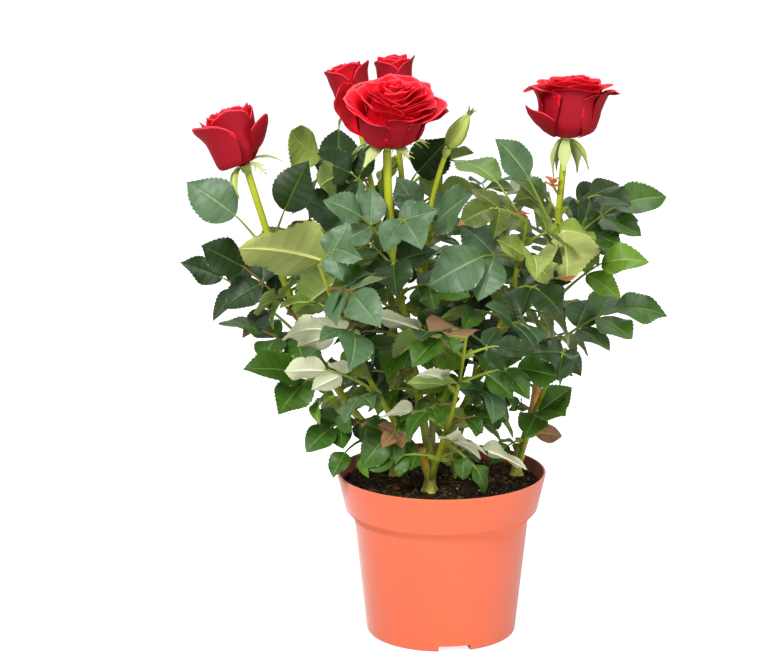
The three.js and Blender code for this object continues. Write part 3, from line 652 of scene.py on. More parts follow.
GUIDES = [
    Guide("tall_left", 0.7, (-151, -24, 290), (-0.3, -0.8, 0.6), 1, 42, Tone.BLUE),
    Guide("tall_left", 0.4, (-159, -10, 237), (-0.5, -0.5, 0.7), 5, 33, Tone.DARK),
    Guide("tall_left", 0.5, (-143, -32, 252), (0, -0.8, 0.6), 3, 36, Tone.DARK),
    Guide("tall_left", 0.3, (-135, -20, 204), (-0.2, -0.3, 1), 5, 33, Tone.MID),
    Guide("tall_front", 0.66, (-119, -58, 267), (0.1, 0.95, 0.3), 3, 56, Tone.LIME, 0,
          Tone.DARK, Pose(0.64, (-120, -56, 267), (0.25, 0.75, 0.55), -0.16, 64)),
    Guide("tall_middle", 0.72, (-101, 2, 314), (-0.8, -0.2, 0.6), 3, 40, Tone.FRESH, 55, Tone.DARK),
    Guide("low_left", 0.7, (-114, -58, 187), (-0.2, -0.7, 0.7), 3, 42, Tone.MID),
    Guide("low_left", 0.4, (-82, -40, 130), (-0.3, -0.8, 0.5), 3, 24, Tone.MID),
    Guide("low_left", 0.24, (-66, -45, 115), (-0.2, -0.8, 0.6), 1, 18, Tone.MID),
    Guide("front_left", 0.22, (-48, -58, 126), (-0.1, -0.8, 0.6), 3, 24, Tone.MID),
    Guide("front_left", 0.66, (-98, -60, 212), (0.2, 0.8, 0.5), 3, 32, Tone.CHALK),
    Guide("front_left", 0.42, (-94, -58, 182), (0.2, 0.8, 0.5), 3, 28, Tone.CHALK),
    Guide("tall_front", 0.68, (-66, -56, 286), (-0.1, -0.7, 0.6), 3, 30, Tone.BLUE),
    Guide("budding", 0.74, (12, -54, 290), (0.1, -0.7, 0.7), 1, 46, Tone.BLUE),
    Guide("wide_front", 0.86, (-6, -62, 238), (0.1, -0.9, 0.5), 3, 38, Tone.BLUE),
    Guide("wide_front", 0.98, (8, 6, 310), (0.8, -0.7, 0.3), 1, 44, Tone.FRESH),
    Guide("tall_right", 0.72, (36, -10, 315), (-0.3, -0.7, 0.6), 1, 36, Tone.BLUE, 40),
    Guide("tall_right", 0.66, (134, 0, 283), (0.1, -0.5, 0.9), 5, 38, Tone.MID),
    Guide("tall_right", 0.58, (70, -40, 228), (0.4, 0.8, 0.3), 1, 42, Tone.LIME, 0, None,
          Pose(0.76, (80, -46, 222), (0.1, 0.95, 0.1), 0.5, 50)),
    Guide("tall_right", 0.34, (138, 0, 213), (0.2, -0.4, 0.9), 5, 38, Tone.MID),
    Guide("low_right", 0.4, (72, -52, 158), (0.1, -0.7, 0.8), 3, 33, Tone.MID),
    Guide("low_right", 0.24, (76, 0, 128), (0.4, -0.6, 0.6), 1, 20, Tone.BRONZE),
    Guide("low_front", 0.18, (55, -57, 124), (0.2, 0.7, -0.5), 1, 33, Tone.CHALK, 0, None,
          Pose(0.18, (54, -58, 125), (0, 0.7, 0.7), 0.25, 33)),
    Guide("low_front", 0.9, (-51, -74, 232), (0, 0.8, 0.5), 3, 42, Tone.CHALK, 0, Tone.DARK,
          Pose(0.9, (-51, -77, 229), (0.05, 0.47, 0.88), 0.1, 46)),
    Guide("low_front", 0.66, (-20, -88, 190), (0.2, 0.8, 0.5), 3, 30, Tone.CHALK, 0, Tone.MID,
          Pose(0.66, (-15, -89, 194), (0.1, 0.62, 0.78), 0.22, 31)),
    Guide("low_front", 0.4, (-40, -70, 162), (0.2, 0.8, 0.5), 1, 28, Tone.CHALK),
    Guide("wide_front", 0.5, (-6, -66, 206), (0, 0.4, 0.9), 1, 42, Tone.BRONZE, 0, None,
          Pose(0.5, (-5, -78, 221), (0.15, 0.1, 0.98), 0.05, 46)),
    Guide("tall_middle", 0.78, (-76, 4, 300), (-0.4, -0.8, 0.5), 3, 32, Tone.DARK),
    Guide("tall_back", 0.76, (2, 24, 306), (0.4, -0.7, 0.6), 1, 38, Tone.DARK),
    Guide("tall_right", 0.5, (118, -34, 250), (0.5, -0.7, 0.6), 3, 34, Tone.FRESH),
    Guide("back_right", 0.9, (122, 40, 262), (0.5, -0.5, 0.7), 3, 36, Tone.DARK),
    Guide("tall_left", 0.78, (-82, -18, 300), (0.1, -0.8, 0.6), 1, 38, Tone.DARK),
    Guide("tall_middle", 0.6, (-86, -4, 276), (-0.2, -0.9, 0.4), 3, 34, Tone.BLUE),
    Guide("tall_back", 0.66, (-2, 4, 272), (0.2, -0.9, 0.5), 3, 34, Tone.BLUE),
]


@dataclass(frozen=True)
class Change:
    """A leaf of the rule's, the one rooted nearest a point, that hangs or is toned in a way of its own."""

    shoot: str
    root: Triple
    tone: Tone
    pose: Pose | None = None


CHANGES = (
    Change("tall_front", (-31, -28.9, 264.3), Tone.BLUE),
    Change("tall_front", (-25.5, -26.7, 221.3), Tone.MID),
    Change("low_front", (1, -45, 134), Tone.MID, Pose(0.12, (32, -52, 105), (0, -0.4, 0.9), 0.2, 18)),
    Change("low_front", (-2, -37, 122), Tone.MID, Pose(0.1, (-44, -52, 120), (-0.1, -0.6, 0.8), 0.2, 17)),
    Change("low_front", (0, -43, 132), Tone.CHALK, Pose(0.14, (30, -64, 137), (0, 0.62, 0.78), 0.2, 26)),
)


@dataclass(frozen=True)
class Tuft:
    """A few small young leaves that unfold at the end of a short side shoot."""

    shoot: str
    at: Triple
    size: float


TUFTS = (
    Tuft("tall_front", (-19, -54, 265), 9),
    Tuft("tall_right", (66, -6, 286), 7),
    Tuft("back_right", (46, -14, 266), 8),
)


@dataclass(frozen=True)
class LeafRule:
    """How leaves are set on a shoot. Lengths are in millimetres and angles in degrees."""

    spacing: float = 14
    turn: float = 144
    turn_swing: float = 25
    phase: float = 77
    outward: float = 0.8
    tries: int = 9
    retry_turn: float = 50
    retry_shrink: float = 0.05
    counts: tuple[int, ...] = (5, 5, 3)
    length: tuple[float, ...] = (19, 33, 40)
    length_at: tuple[float, ...] = (110, 175, 250)
    spread: Pair = (0.86, 1.1)
    stalk: dict[int, float] = field(default_factory=lambda: {1: 0.5, 3: 0.85, 5: 1.15})
    tilt: Pair = (-16, 22)
    tilt_swing: float = 14
    arch: float = 0.22
    upward: float = 0.6
    lean: float = 0.5
    swing: float = 0.7
    pairs: dict[int, tuple[float, ...]] = field(default_factory=lambda: {1: (), 3: (0.7,), 5: (0.48, 0.8)})
    pair_share: float = 0.84
    pair_angle: float = 58
    pair_droop: float = 0.12
    inner_pair: float = 0.82
    shortest_stalk: float = 0.2
    inset: float = 0.02
    width: float = 0.74
    fold: float = 0.26
    bend: float = 0.1
    stalk_radius: float = 0.9
    look_ahead: float = 0.05


RULE = LeafRule()
CROWN_MIDDLE = (-8.0, 0.0)
CROWN_HEIGHTS = (104.0, 150.0, 215.0, 285.0, 320.0)
CROWN_RADII = (60.0, 92.0, 140.0, 134.0, 92.0)
BLADE_SAMPLES = np.array([
    (0.1, 0), (0.3, 0.4), (0.3, 0), (0.3, -0.4), (0.5, 0.5), (0.5, 0), (0.5, -0.5), (0.75, 0.35), (0.75, 0),
    (0.75, -0.35), (1, 0),
])


@dataclass(frozen=True)
class Clearance:
    """The room that a leaf keeps to other leaves, round their edges, to stems, stalks and the pot."""

    leaf: float = 3.6
    edge: float = 1.2
    stem: float = 1.6
    stalk: float = 1
    pot: float = 3
    step: float = 4
    at_root: int = 3
    reach: float = 4
    bloom: float = 0.46
    bloom_middle: float = 0.6
    inside: float = 1.0  # the share of the bush's outline that it keeps within


CLEAR = Clearance()
CLOSER = Clearance(leaf=1.3, edge=0, stem=0.5, stalk=0.2, at_root=4, inside=0.84)


@dataclass
class Blade:
    """One leaflet's place: its base, its directions along, across and out of its upper side, and its size."""

    base: Array
    along: Array
    across: Array
    face: Array
    length: float

    @classmethod
    def planned(cls, base: Array, along: Array, face: Array, length: float) -> "Blade":
        """Returns the leaflet that leaves base along a direction, its upper side turned towards face."""
        normal = flat_part(face, along)
        return cls(base, along, np.cross(normal, along), normal, length)

    def turned(self, angle: float) -> "Blade":
        """Returns the leaflet turned about its midrib by an angle in radians."""
        across = self.across * math.cos(angle) + self.face * math.sin(angle)
        face = self.face * math.cos(angle) - self.across * math.sin(angle)
        return Blade(self.base, self.along, across, face, self.length)

    @property
    def width(self) -> float:
        """How wide the leaflet is."""
        return self.length * RULE.width

    @property
    def middle(self) -> Array:
        """The middle of its midrib."""
        return self.base + self.along * (self.length / 2)

    def samples(self) -> Array:
        """Returns the points where the leaflet is tested; the last one is its tip."""
        x, y = BLADE_SAMPLES[:, :1], BLADE_SAMPLES[:, 1:]
        sag = np.abs(y) * self.width * RULE.fold - RULE.bend * self.length * x * x
        return self.base + self.along * x * self.length + self.across * y * self.width + self.face * sag


@dataclass
class Leaf:
    """A leaf's place: the three points of its stalk's curve, how far the stalk goes, and its leaflets."""

    shoot: Shoot
    bones: Array
    end: float
    face: Array
    count: int
    blades: list[Blade]
    tone: Tone | None = None
    pair_tone: Tone | None = None
    roll: float = 0.0

    def path(self, share: float | Array) -> Array:
        """Returns the point, or points, at a share of the stalk's curve."""
        return arc(*self.bones, np.asarray(share, float)[..., None])

    def beads(self) -> Array:
        """Returns the points where the stalk is tested."""
        count = math.ceil(np.linalg.norm(self.bones[2] - self.bones[0]) * self.end / CLEAR.step)
        return self.path(self.end * np.arange(count + 1) / count)


def plan_leaf(
    shoot: Shoot, root: Array, tip: Array, face: Array, count: int, length: float, arch: float | None = None
) -> Leaf:
    """Plans a leaf whose stalk arches from its root towards the tip.

    Args:
        shoot: The shoot that bears it.
        root: Where its stalk starts.
        tip: Where its end leaflet ends.
        face: The way its upper side looks.
        count: How many leaflets it has.
        length: How long its end leaflet is.
        arch: How high its stalk arches, if not as the rule has it.

    Returns:
        The leaf, its end leaflet first.
    """
    reach = np.linalg.norm(tip - root)
    arch = RULE.arch if arch is None else arch
    crest = root + (tip - root) * 0.5 + UP * math.hypot(tip[0] - root[0], tip[1] - root[1]) * arch
    end = max(1 - length / reach, RULE.shortest_stalk)
    leaf = Leaf(shoot, np.array((root, crest, tip)), end, face, count, [])
    ahead = tip - leaf.path(end)
    leaf.blades.append(Blade.planned(leaf.path(end), unit(ahead), face, float(np.linalg.norm(ahead))))
    angle = math.radians(RULE.pair_angle)
    for place in RULE.pairs[count]:
        base = leaf.path(place * end)
        onward = unit(leaf.path(place * end + RULE.look_ahead) - base)
        normal = flat_part(face, onward)
        sideways = np.cross(normal, onward)
        for side in (1, -1):
            aside = sideways * side * math.sin(angle)
            out = unit(onward * math.cos(angle) + aside - normal * RULE.pair_droop)
            size = length * RULE.pair_share * lerp(RULE.inner_pair, 1, place)
            leaf.blades.append(Blade.planned(base, out, face, size))
    return leaf


def rule_leaf(shoot: Shoot, order: int, place: int, share: float, attempt: int) -> Leaf:
    """Plans the leaf that the rule would put at one place. Each try turns it a little and shrinks it.

    Args:
        shoot: The shoot that bears it.
        order: The shoot's number.
        place: The leaf's number on the shoot.
        share: Where on the shoot it is rooted.
        attempt: How many tries came before this one.

    Returns:
        The leaf.
    """
    dice = Dice(order * 1000 + place * 10 + attempt)
    root = shoot.at(share)
    swing = dice.between(-RULE.turn_swing, RULE.turn_swing) + attempt * RULE.retry_turn
    turn = math.radians(order * RULE.phase + place * RULE.turn + swing)
    out = unit(vec(root[0] - CROWN_MIDDLE[0], root[1] - CROWN_MIDDLE[1], 0))
    heading = unit(around(turn) + out * RULE.outward)
    shrink = 1 - RULE.retry_shrink * attempt
    length = float(np.interp(root[2], RULE.length_at, RULE.length)) * dice.between(*RULE.spread) * shrink
    count = RULE.counts[int(dice.roll() * len(RULE.counts))]
    height = (root[2] - POT.height) / (CROWN_HEIGHTS[-1] - POT.height)
    tilt = math.radians(lerp(*RULE.tilt, height) + dice.between(-RULE.tilt_swing, RULE.tilt_swing))
    reach = length * (1 + RULE.stalk[count])
    tip = root + heading * reach * math.cos(tilt) + UP * reach * math.sin(tilt)
    aside = vec(dice.between(-RULE.swing, RULE.swing), dice.between(-RULE.swing, RULE.swing), 0)
    return plan_leaf(shoot, root, tip, unit(UP * RULE.upward + out * RULE.lean + aside), count, length)


@dataclass
class Blades:
    """Many leaflets at once, as arrays, so that they are tested together."""

    middle: Array
    along: Array
    across: Array
    face: Array
    length: Array
    samples: Array

    @classmethod
    def of(cls, blades: list[Blade]) -> "Blades":
        """Gathers leaflets as arrays.

        Args:
            blades: The leaflets.

        Returns:
            The same leaflets, one row each.
        """
        middle, along, across, face = (
            np.array([getattr(blade, name) for blade in blades]).reshape(-1, 3)
            for name in ("middle", "along", "across", "face")
        )
        length = np.array([blade.length for blade in blades], float)
        samples = np.array([blade.samples() for blade in blades]).reshape(-1, len(BLADE_SAMPLES), 3)
        return cls(middle, along, across, face, length, samples)

    def hits(self, points: Array, clearance: Array | float, margin: Array | float) -> Array:
        """Tests points against every leaflet.

        Args:
            points: Rows of points, or one set of them for each leaflet.
            clearance: How near a leaflet's face a point may come.
            margin: How much wider than its outline a leaflet counts.

        Returns:
            For each leaflet and point, whether the point is too near.
        """
        away = points - self.middle[:, None]
        x = np.einsum("kpi,ki->kp", away, self.along) / (self.length[:, None] / 2 + margin)
        y = np.einsum("kpi,ki->kp", away, self.across)
        inside = x * x + (y / (self.length[:, None] * RULE.width / 2 + margin)) ** 2 <= 1
        return inside & (np.abs(np.einsum("kpi,ki->kp", away, self.face) - np.abs(y) * RULE.fold) < clearance)


class Room:
    """Everything that a new leaf keeps clear of: other leaves, and beads along stems and stalks."""

    def __init__(self) -> None:
        """Fills the room with the shoots and flowers, and no leaf."""
        self.clear = CLEAR
        self.blades: list[Blade] = []
        self.packed = Blades.of([])
        self.at = np.empty((0, 3))
        self.radius = np.empty(0)
        self.owner = np.empty(0, int)
        for order, shoot in enumerate(SHOOTS):
            beads = math.ceil(shoot.length() / CLEAR.step)
            shares = np.arange(beads + 1) / beads
            self.add_beads(shoot.at(shares), shoot.thickness(shares), order)
            if shoot.flower:
                size = FLOWERS[shoot.flower]
                middle = shoot.at(1) + unit(vec(*size.axis)) * size.height * CLEAR.bloom_middle
                self.add_beads(middle[None], np.array([size.width * CLEAR.bloom]), order)

    def add_beads(self, at: Array, radius: Array, owner: int) -> None:
        """Adds beads that belong to one shoot."""
        self.at = np.concatenate((self.at, at))
        self.radius = np.concatenate((self.radius, radius))
        self.owner = np.concatenate((self.owner, np.full(len(at), owner)))

    def near(self, points: Array, others: Array, distance: Array) -> Array:
        """Returns whether each point lies within its distance of the others."""
        return ((points - others) ** 2).sum(-1) < distance**2

    def blade_clashes(self, blade: Blade) -> bool:
        """Tests whether a leaflet comes too near to a leaflet, stem or stalk in the room.

        Args:
            blade: The leaflet.

        Returns:
            Whether it does.
        """
        own = Blades.of([blade])
        if self.blades:
            others = self.packed
            distance = (blade.length + others.length) / 2 + self.clear.leaf
            close = self.near(blade.middle, others.middle, distance)
            if (others.hits(own.samples[0][None], self.clear.leaf, self.clear.edge) & close[:, None]).any():
                return True
            theirs = others.samples[close].reshape(1, -1, 3)
            if own.hits(theirs, self.clear.leaf, self.clear.edge).any():
                return True
        close = self.near(blade.middle, self.at, blade.length / 2 + self.clear.reach + self.radius)
        return bool((own.hits(self.at[None], self.radius + self.clear.stem, self.radius) & close).any())

    def stalk_clashes(self, leaf: Leaf, order: int) -> bool:
        """Tests whether a leaf's stalk comes too near to anything but the foot of its own shoot.

        Args:
            leaf: The leaf.
            order: Its shoot's number.

        Returns:
            Whether it does.
        """
        half = RULE.stalk_radius
        beads = leaf.beads()
        if self.blades:
            others = self.packed
            distance = others.length[:, None] / 2 + self.clear.reach
            close = self.near(others.middle[:, None], beads[None], distance)
            if (others.hits(beads[None], half + self.clear.stem, self.clear.stalk) & close).any():
                return True
        close = self.near(beads[:, None], self.at[None], self.radius[None] + half + self.clear.stalk)
        at_root = (self.owner == order)[None] & (np.arange(len(beads)) < CLEAR.at_root)[:, None]
        return bool((close & ~at_root).any())

    def fits(self, leaf: Leaf, order: int) -> bool:
        """Tests whether a leaf keeps clear of everything, above the pot and inside the bush's outline.

        Args:
            leaf: The leaf.
            order: Its shoot's number.

        Returns:
            Whether it fits.
        """
        if any(self.blade_clashes(blade) for blade in leaf.blades) or self.stalk_clashes(leaf, order):
            return False
        for blade in leaf.blades:
            samples = blade.samples()
            tip = samples[-1]
            reach = np.interp(tip[2], CROWN_HEIGHTS, CROWN_RADII)
            aside = math.hypot(tip[0] - CROWN_MIDDLE[0], tip[1] - CROWN_MIDDLE[1]) / self.clear.inside
            low = (samples[:, 2] <= POT.height + CLEAR.pot).any()
            if low or aside >= reach or tip[2] >= CROWN_HEIGHTS[-1]:
                return False
        return True

    def take(self, leaf: Leaf, order: int) -> None:
        """Puts a leaf into the room."""
        self.blades += leaf.blades
        self.packed = Blades.of(self.blades)
        beads = leaf.beads()
        self.add_beads(beads, np.full(len(beads), RULE.stalk_radius), order)


@dataclass(frozen=True)
class Fill:
    """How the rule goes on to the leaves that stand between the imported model's, within its outline."""

    spacing: float = 6.5
    first_place: int = 60
    below_top: float = 0.08


FILL = Fill()


def grow(room: Room, order: int, places: list[tuple[int, float]]) -> list[Leaf]:
    """Grows the rule's leaves on one shoot, each where one of its tries fits.

    Args:
        room: What is there already, which takes the new leaves in.
        order: The shoot's number.
        places: The numbers of the leaves and where on the shoot they are rooted.

    Returns:
        The new leaves.
    """
    grown = []
    for place, share in places:
        for attempt in range(RULE.tries):
            leaf = rule_leaf(SHOOTS[order], order, place, share, attempt)
            if room.fits(leaf, order):
                room.take(leaf, order)
                grown.append(leaf)
                break
    return grown


def plan_leaves() -> list[Leaf]:
    """Plans all leaves of the bush: the guides, the rule's that fit, and those that still go between them.

    Returns:
        The leaves in the order they were placed.
    """
    room = Room()
    leaves: list[Leaf] = []
    for guide in GUIDES:
        shoot = SHOOT_NAMED[guide.shoot]
        leaf = plan_leaf(
            shoot, shoot.at(guide.at), vec(*guide.tip), unit(vec(*guide.face)), guide.count, guide.length
        )
        leaf.tone, leaf.pair_tone, leaf.roll = guide.tone, guide.pair_tone, math.radians(guide.roll)
        room.take(leaf, SHOOTS.index(shoot))
        leaves.append(leaf)
    for order, shoot in enumerate(SHOOTS):
        low, high = shoot.leafy
        last = high - RULE.inset if shoot.flower else 1.0
        count = shoot.places(RULE.spacing)
        shares = [lerp(low + RULE.inset, last, place / (count - 1)) for place in range(count)]
        leaves += grow(room, order, list(enumerate(shares)))
    room.clear = CLOSER
    for order, shoot in enumerate(SHOOTS):
        low, high = shoot.leafy
        count = shoot.places(FILL.spacing)
        shares = [lerp(low, high - FILL.below_top, (place + 0.5) / count) for place in range(count)]
        leaves += grow(room, order, list(enumerate(shares, FILL.first_place)))
    for order, guide in enumerate(GUIDES):
        if guide.pose:
            leaves[order] = guide.pose.hang(leaves[order], leaves[order].shoot.at(guide.pose.at))
    for change in CHANGES:
        own = [order for order, leaf in enumerate(leaves) if leaf.shoot.name == change.shoot]
        order = min(own, key=lambda other: np.linalg.norm(leaves[other].bones[0] - vec(*change.root)))
        if change.pose:
            leaves[order] = change.pose.hang(leaves[order], leaves[order].bones[0])
        leaves[order].tone = change.tone
    return leaves


# ------------------------------------------------------------------ finishes


def colour(red: int, green: int, blue: int) -> Colour:
    """Returns a display colour of 0 to 255 as the shader's linear colour."""
    shares = [channel / 255 for channel in (red, green, blue)]
    linear = [share / 12.92 if share <= 0.04045 else ((share + 0.055) / 1.055) ** 2.4 for share in shares]
    return (*linear, 1.0)


class Effect(Enum):
    """The shared effects, each one shader node group."""

    MOTTLE = "mottle"
    GRAIN = "grain"
    FURROW = "furrow"


def fill(node: Node, values: dict[Socket, float | Colour]) -> None:
    """Sets even values on a node's own inputs."""
    for name, value in values.items():
        node.inputs[name].default_value = value


class Graph:
    """A node tree with short ways to add, set and join its nodes."""

    def __init__(self, tree: bpy.types.NodeTree) -> None:
        """Wraps a node tree."""
        self.tree = tree

    def node(self, kind: str, values: dict[Socket, float | Colour] | None = None, **settings: object) -> Node:
        """Adds a node.

        Args:
            kind: The node's type name in Blender, after "ShaderNode".
            values: The even values of its inputs.
            settings: Properties to set on it.

        Returns:
            The node.
        """
        made = self.tree.nodes.new(f"ShaderNode{kind}")
        for name, value in settings.items():
            setattr(made, name, value)
        fill(made, values or {})
        return made

    def effect(self, effect: Effect, values: dict[Socket, float | Colour]) -> Node:
        """Places a shared effect in the tree, with this material's values."""
        return self.node("Group", values, node_tree=bpy.data.node_groups[effect.value])

    def wire(self, *links: tuple[Node, Socket, Node, Socket]) -> None:
        """Joins nodes; each link names a node, its output, the next node and its input."""
        for source, output, target, entry in links:
            self.tree.links.new(source.outputs[output], target.inputs[entry])


MIX_FACTOR, MIX_FIRST, MIX_SECOND, MIX_COLOUR = 0, 6, 7, 2  # a colour Mix node's sockets, by place


def start_effect(
    effect: Effect, entries: dict[str, float | Colour], outputs: dict[str, str]
) -> tuple[Graph, Node, Node]:
    """Starts a shader node group with named inputs and outputs.

    Args:
        effect: The effect that the group makes.
        entries: The inputs' names and starting values.
        outputs: The outputs' names and socket types.

    Returns:
        The group's graph, its input node and its output node.
    """
    tree = bpy.data.node_groups.new(effect.value, "ShaderNodeTree")
    for name, value in entries.items():
        kind = "NodeSocketColor" if isinstance(value, tuple) else "NodeSocketFloat"
        tree.interface.new_socket(name, in_out="INPUT", socket_type=kind).default_value = value
    for name, kind in outputs.items():
        tree.interface.new_socket(name, in_out="OUTPUT", socket_type=kind)
    graph = Graph(tree)
    return graph, tree.nodes.new("NodeGroupInput"), tree.nodes.new("NodeGroupOutput")


def make_mottle() -> None:
    """Makes the soft patches of two colours that mix over a surface."""
    graph, entry, output = start_effect(
        Effect.MOTTLE,
        {"Dark": colour(90, 90, 90), "Light": colour(200, 200, 200), "Size": 100.0, "Spread": 0.2},
        {"Colour": "NodeSocketColor"},
    )
    place = graph.node("TexCoord")
    cloud = graph.node("TexNoise", {"Detail": 6.0})
    low = graph.node("Math", {0: 0.5}, operation="SUBTRACT")
    high = graph.node("Math", {0: 0.5}, operation="ADD")
    band = graph.node("MapRange")
    mix = graph.node("Mix", data_type="RGBA")
    graph.wire(
        (place, "Object", cloud, "Vector"), (entry, "Size", cloud, "Scale"),
        (entry, "Spread", low, 1), (entry, "Spread", high, 1),
        (cloud, "Fac", band, "Value"), (low, 0, band, "From Min"), (high, 0, band, "From Max"),
        (band, 0, mix, MIX_FACTOR), (entry, "Dark", mix, MIX_FIRST), (entry, "Light", mix, MIX_SECOND),
        (mix, MIX_COLOUR, output, "Colour"),
    )


def make_grain() -> None:
    """Makes a fine relief and the roughness that goes with it."""
    graph, entry, output = start_effect(
        Effect.GRAIN,
        {"Size": 2000.0, "Smooth": 0.4, "Rough": 0.6},
        {"Height": "NodeSocketFloat", "Roughness": "NodeSocketFloat"},
    )
    place = graph.node("TexCoord")
    speckle = graph.node("TexNoise", {"Detail": 3.0})
    band = graph.node("MapRange")
    graph.wire(
        (place, "Object", speckle, "Vector"), (entry, "Size", speckle, "Scale"),
        (speckle, "Fac", band, "Value"), (entry, "Smooth", band, "To Min"), (entry, "Rough", band, "To Max"),
        (speckle, "Fac", output, "Height"), (band, 0, output, "Roughness"),
    )


def make_furrow() -> None:
    """Makes the long cracks and fibres that run up a stem."""
    graph, entry, output = start_effect(
        Effect.FURROW, {"Size": 600.0, "Stretch": 0.15}, {"Height": "NodeSocketFloat"}
    )
    place = graph.node("TexCoord")
    stretch = graph.node("VectorMath", operation="MULTIPLY")
    scale = graph.node("CombineXYZ", {"X": 1.0, "Y": 1.0})
    streak = graph.node("TexNoise", {"Detail": 5.0})
    edge = graph.node("MapRange", {"From Min": 0.42, "From Max": 0.58})
    graph.wire(
        (entry, "Stretch", scale, "Z"), (place, "Object", stretch, 0), (scale, "Vector", stretch, 1),
        (stretch, "Vector", streak, "Vector"), (entry, "Size", streak, "Scale"),
        (streak, "Fac", edge, "Value"), (edge, 0, output, "Height"),
    )


@dataclass(frozen=True)
class Finish:
    """A surface of one even colour."""

    name: str
    base: Colour
    roughness: float = 0.5
    coat: float = 0.0
    sheen: float = 0.0
    sheen_tint: Colour = WHITE
    specular: float = 0.5
    coat_roughness: float = 0.25
    sheen_roughness: float = 0.4

    def start(self) -> tuple[Material, Graph, Node]:
        """Starts the material with its even values.

        Returns:
            The material, its graph and its shader.
        """
        made = bpy.data.materials.new(self.name)
        made.use_nodes = True
        shader = made.node_tree.nodes["Principled BSDF"]
        fill(shader, {
            "Base Color": self.base, "Roughness": self.roughness, "Specular IOR Level": self.specular,
            "Coat Weight": self.coat, "Coat Roughness": self.coat_roughness,
            "Sheen Weight": self.sheen, "Sheen Roughness": self.sheen_roughness,
            "Sheen Tint": self.sheen_tint,
        })
        return made, Graph(made.node_tree), shader

    def material(self) -> Material:
        """Returns the finish as a new material."""
        return self.start()[0]


@dataclass(frozen=True)
class WornFinish(Finish):
    """A surface of two mixed colours with a fine grain, and furrows where it is bark."""

    second: Colour = (0.5, 0.5, 0.5, 1.0)
    patch: float = 60.0
    spread: float = 0.2
    grain: float = 2500.0
    smoother: float = 0.35
    rougher: float = 0.6
    relief: float = 0.1
    relief_depth: float = 0.0002
    furrow: float = 0.0

    def material(self) -> Material:
        """Makes the finish as a new material, with its groups placed in it.

        Returns:
            The material.
        """
        made, graph, shader = self.start()
        mottle = graph.effect(
            Effect.MOTTLE,
            {"Dark": self.base, "Light": self.second, "Size": self.patch, "Spread": self.spread},
        )
        grain = graph.effect(
            Effect.GRAIN, {"Size": self.grain, "Smooth": self.smoother, "Rough": self.rougher}
        )
        bump = graph.node("Bump", {"Strength": self.relief, "Distance": self.relief_depth})
        height = (grain, "Height")
        if self.furrow:
            furrow = graph.effect(Effect.FURROW, {"Size": self.furrow})
            total = graph.node("Math", operation="ADD")
            graph.wire((furrow, "Height", total, 0), (*height, total, 1))
            height = (total, 0)
        graph.wire(
            (mottle, "Colour", shader, "Base Color"), (grain, "Roughness", shader, "Roughness"),
            (*height, bump, "Height"), (bump, "Normal", shader, "Normal"),
        )
        return made


def dress(*finishes: Finish) -> list[Material]:
    """Returns the finishes as new materials."""
    return [finish.material() for finish in finishes]


def blend(first: Colour, second: Colour, share: float) -> Colour:
    """Returns the colour that lies the share of the way from the first to the second."""
    return tuple(lerp(a, b, share) for a, b in zip(first, second))


DEEPEST = colour(14, 30, 8)


@dataclass(frozen=True)
class LeafColours:
    """The display colours of one tone of leaf: its upper side, midrib, underside and the midrib there."""

    upper: Triple
    rib: Triple
    under: Triple
    under_rib: Triple
    roughness: float = 0.46
    gloss: float = 0.28
    coat: float = 0.03
    vein: float = 0.11  # how far a side vein's colour goes towards the midrib's
    shade: float = 0.16  # how far the deeper cells between the veins go towards the deepest green
    under_gloss: float = 0.2
    under_roughness: float = 0.7

    def materials(self, tone: Tone) -> list[Material]:
        """Makes the tone's materials.

        Args:
            tone: The tone, which they are named for.

        Returns:
            The materials, in the order of LeafPart.
        """
        upper, rib, under, under_rib = (
            colour(*shade) for shade in (self.upper, self.rib, self.under, self.under_rib)
        )
        glossy = {"specular": self.gloss, "coat": self.coat}
        dull = {"specular": self.under_gloss}
        skins = {
            LeafPart.UPPER: (upper, self.roughness, glossy),
            LeafPart.VEIN: (blend(upper, rib, self.vein), self.roughness + 0.03, glossy),
            LeafPart.RIB: (rib, self.roughness + 0.05, glossy),
            LeafPart.UNDER: (under, self.under_roughness, dull),
            LeafPart.UNDER_VEIN: (blend(under, under_rib, 2 * self.vein), self.under_roughness - 0.05, dull),
            LeafPart.UNDER_RIB: (under_rib, self.under_roughness - 0.1, dull),
            LeafPart.SHADE: (blend(upper, DEEPEST, self.shade), self.roughness, glossy),
        }
        return dress(*(
            Finish(f"leaf_{tone.name}_{part.name}".lower(), base, roughness, **kind)
            for part, (base, roughness, kind) in skins.items()
        ))


class LeafPart(IntEnum):
    """The parts of a leaflet that have their own colour within a tone."""

    UPPER = 0
    VEIN = 1
    RIB = 2
    UNDER = 3
    UNDER_VEIN = 4
    UNDER_RIB = 5
    SHADE = 6


LEAF_COLOURS = {
    # the blue tone's colours are partly painted sheen: the sky's reflection on leaves that catch it
    Tone.BLUE: LeafColours((72, 103, 64), (118, 148, 94), (148, 164, 110), (176, 190, 132), 0.5, 0.5),
    Tone.DARK: LeafColours((26, 49, 7), (72, 100, 32), (122, 144, 74), (160, 174, 98)),
    Tone.MID: LeafColours((52, 88, 14), (98, 130, 46), (140, 162, 84), (172, 186, 108)),
    Tone.FRESH: LeafColours((92, 128, 26), (136, 164, 56), (146, 168, 76), (182, 196, 102)),
    Tone.LIME: LeafColours((130, 146, 62), (186, 194, 100), (166, 176, 100), (206, 210, 124)),
    Tone.OLIVE: LeafColours((66, 82, 12), (118, 130, 40), (138, 152, 74), (172, 180, 94)),
    Tone.CHALK: LeafColours((54, 86, 28), (104, 138, 58), (206, 210, 174), (222, 226, 192), 0.5),
    Tone.BRONZE: LeafColours((142, 104, 72), (182, 160, 92), (184, 150, 118), (204, 178, 126), 0.55),
    Tone.YOUNG: LeafColours((196, 92, 34), (214, 140, 60), (206, 124, 74), (222, 150, 84), 0.5),
}
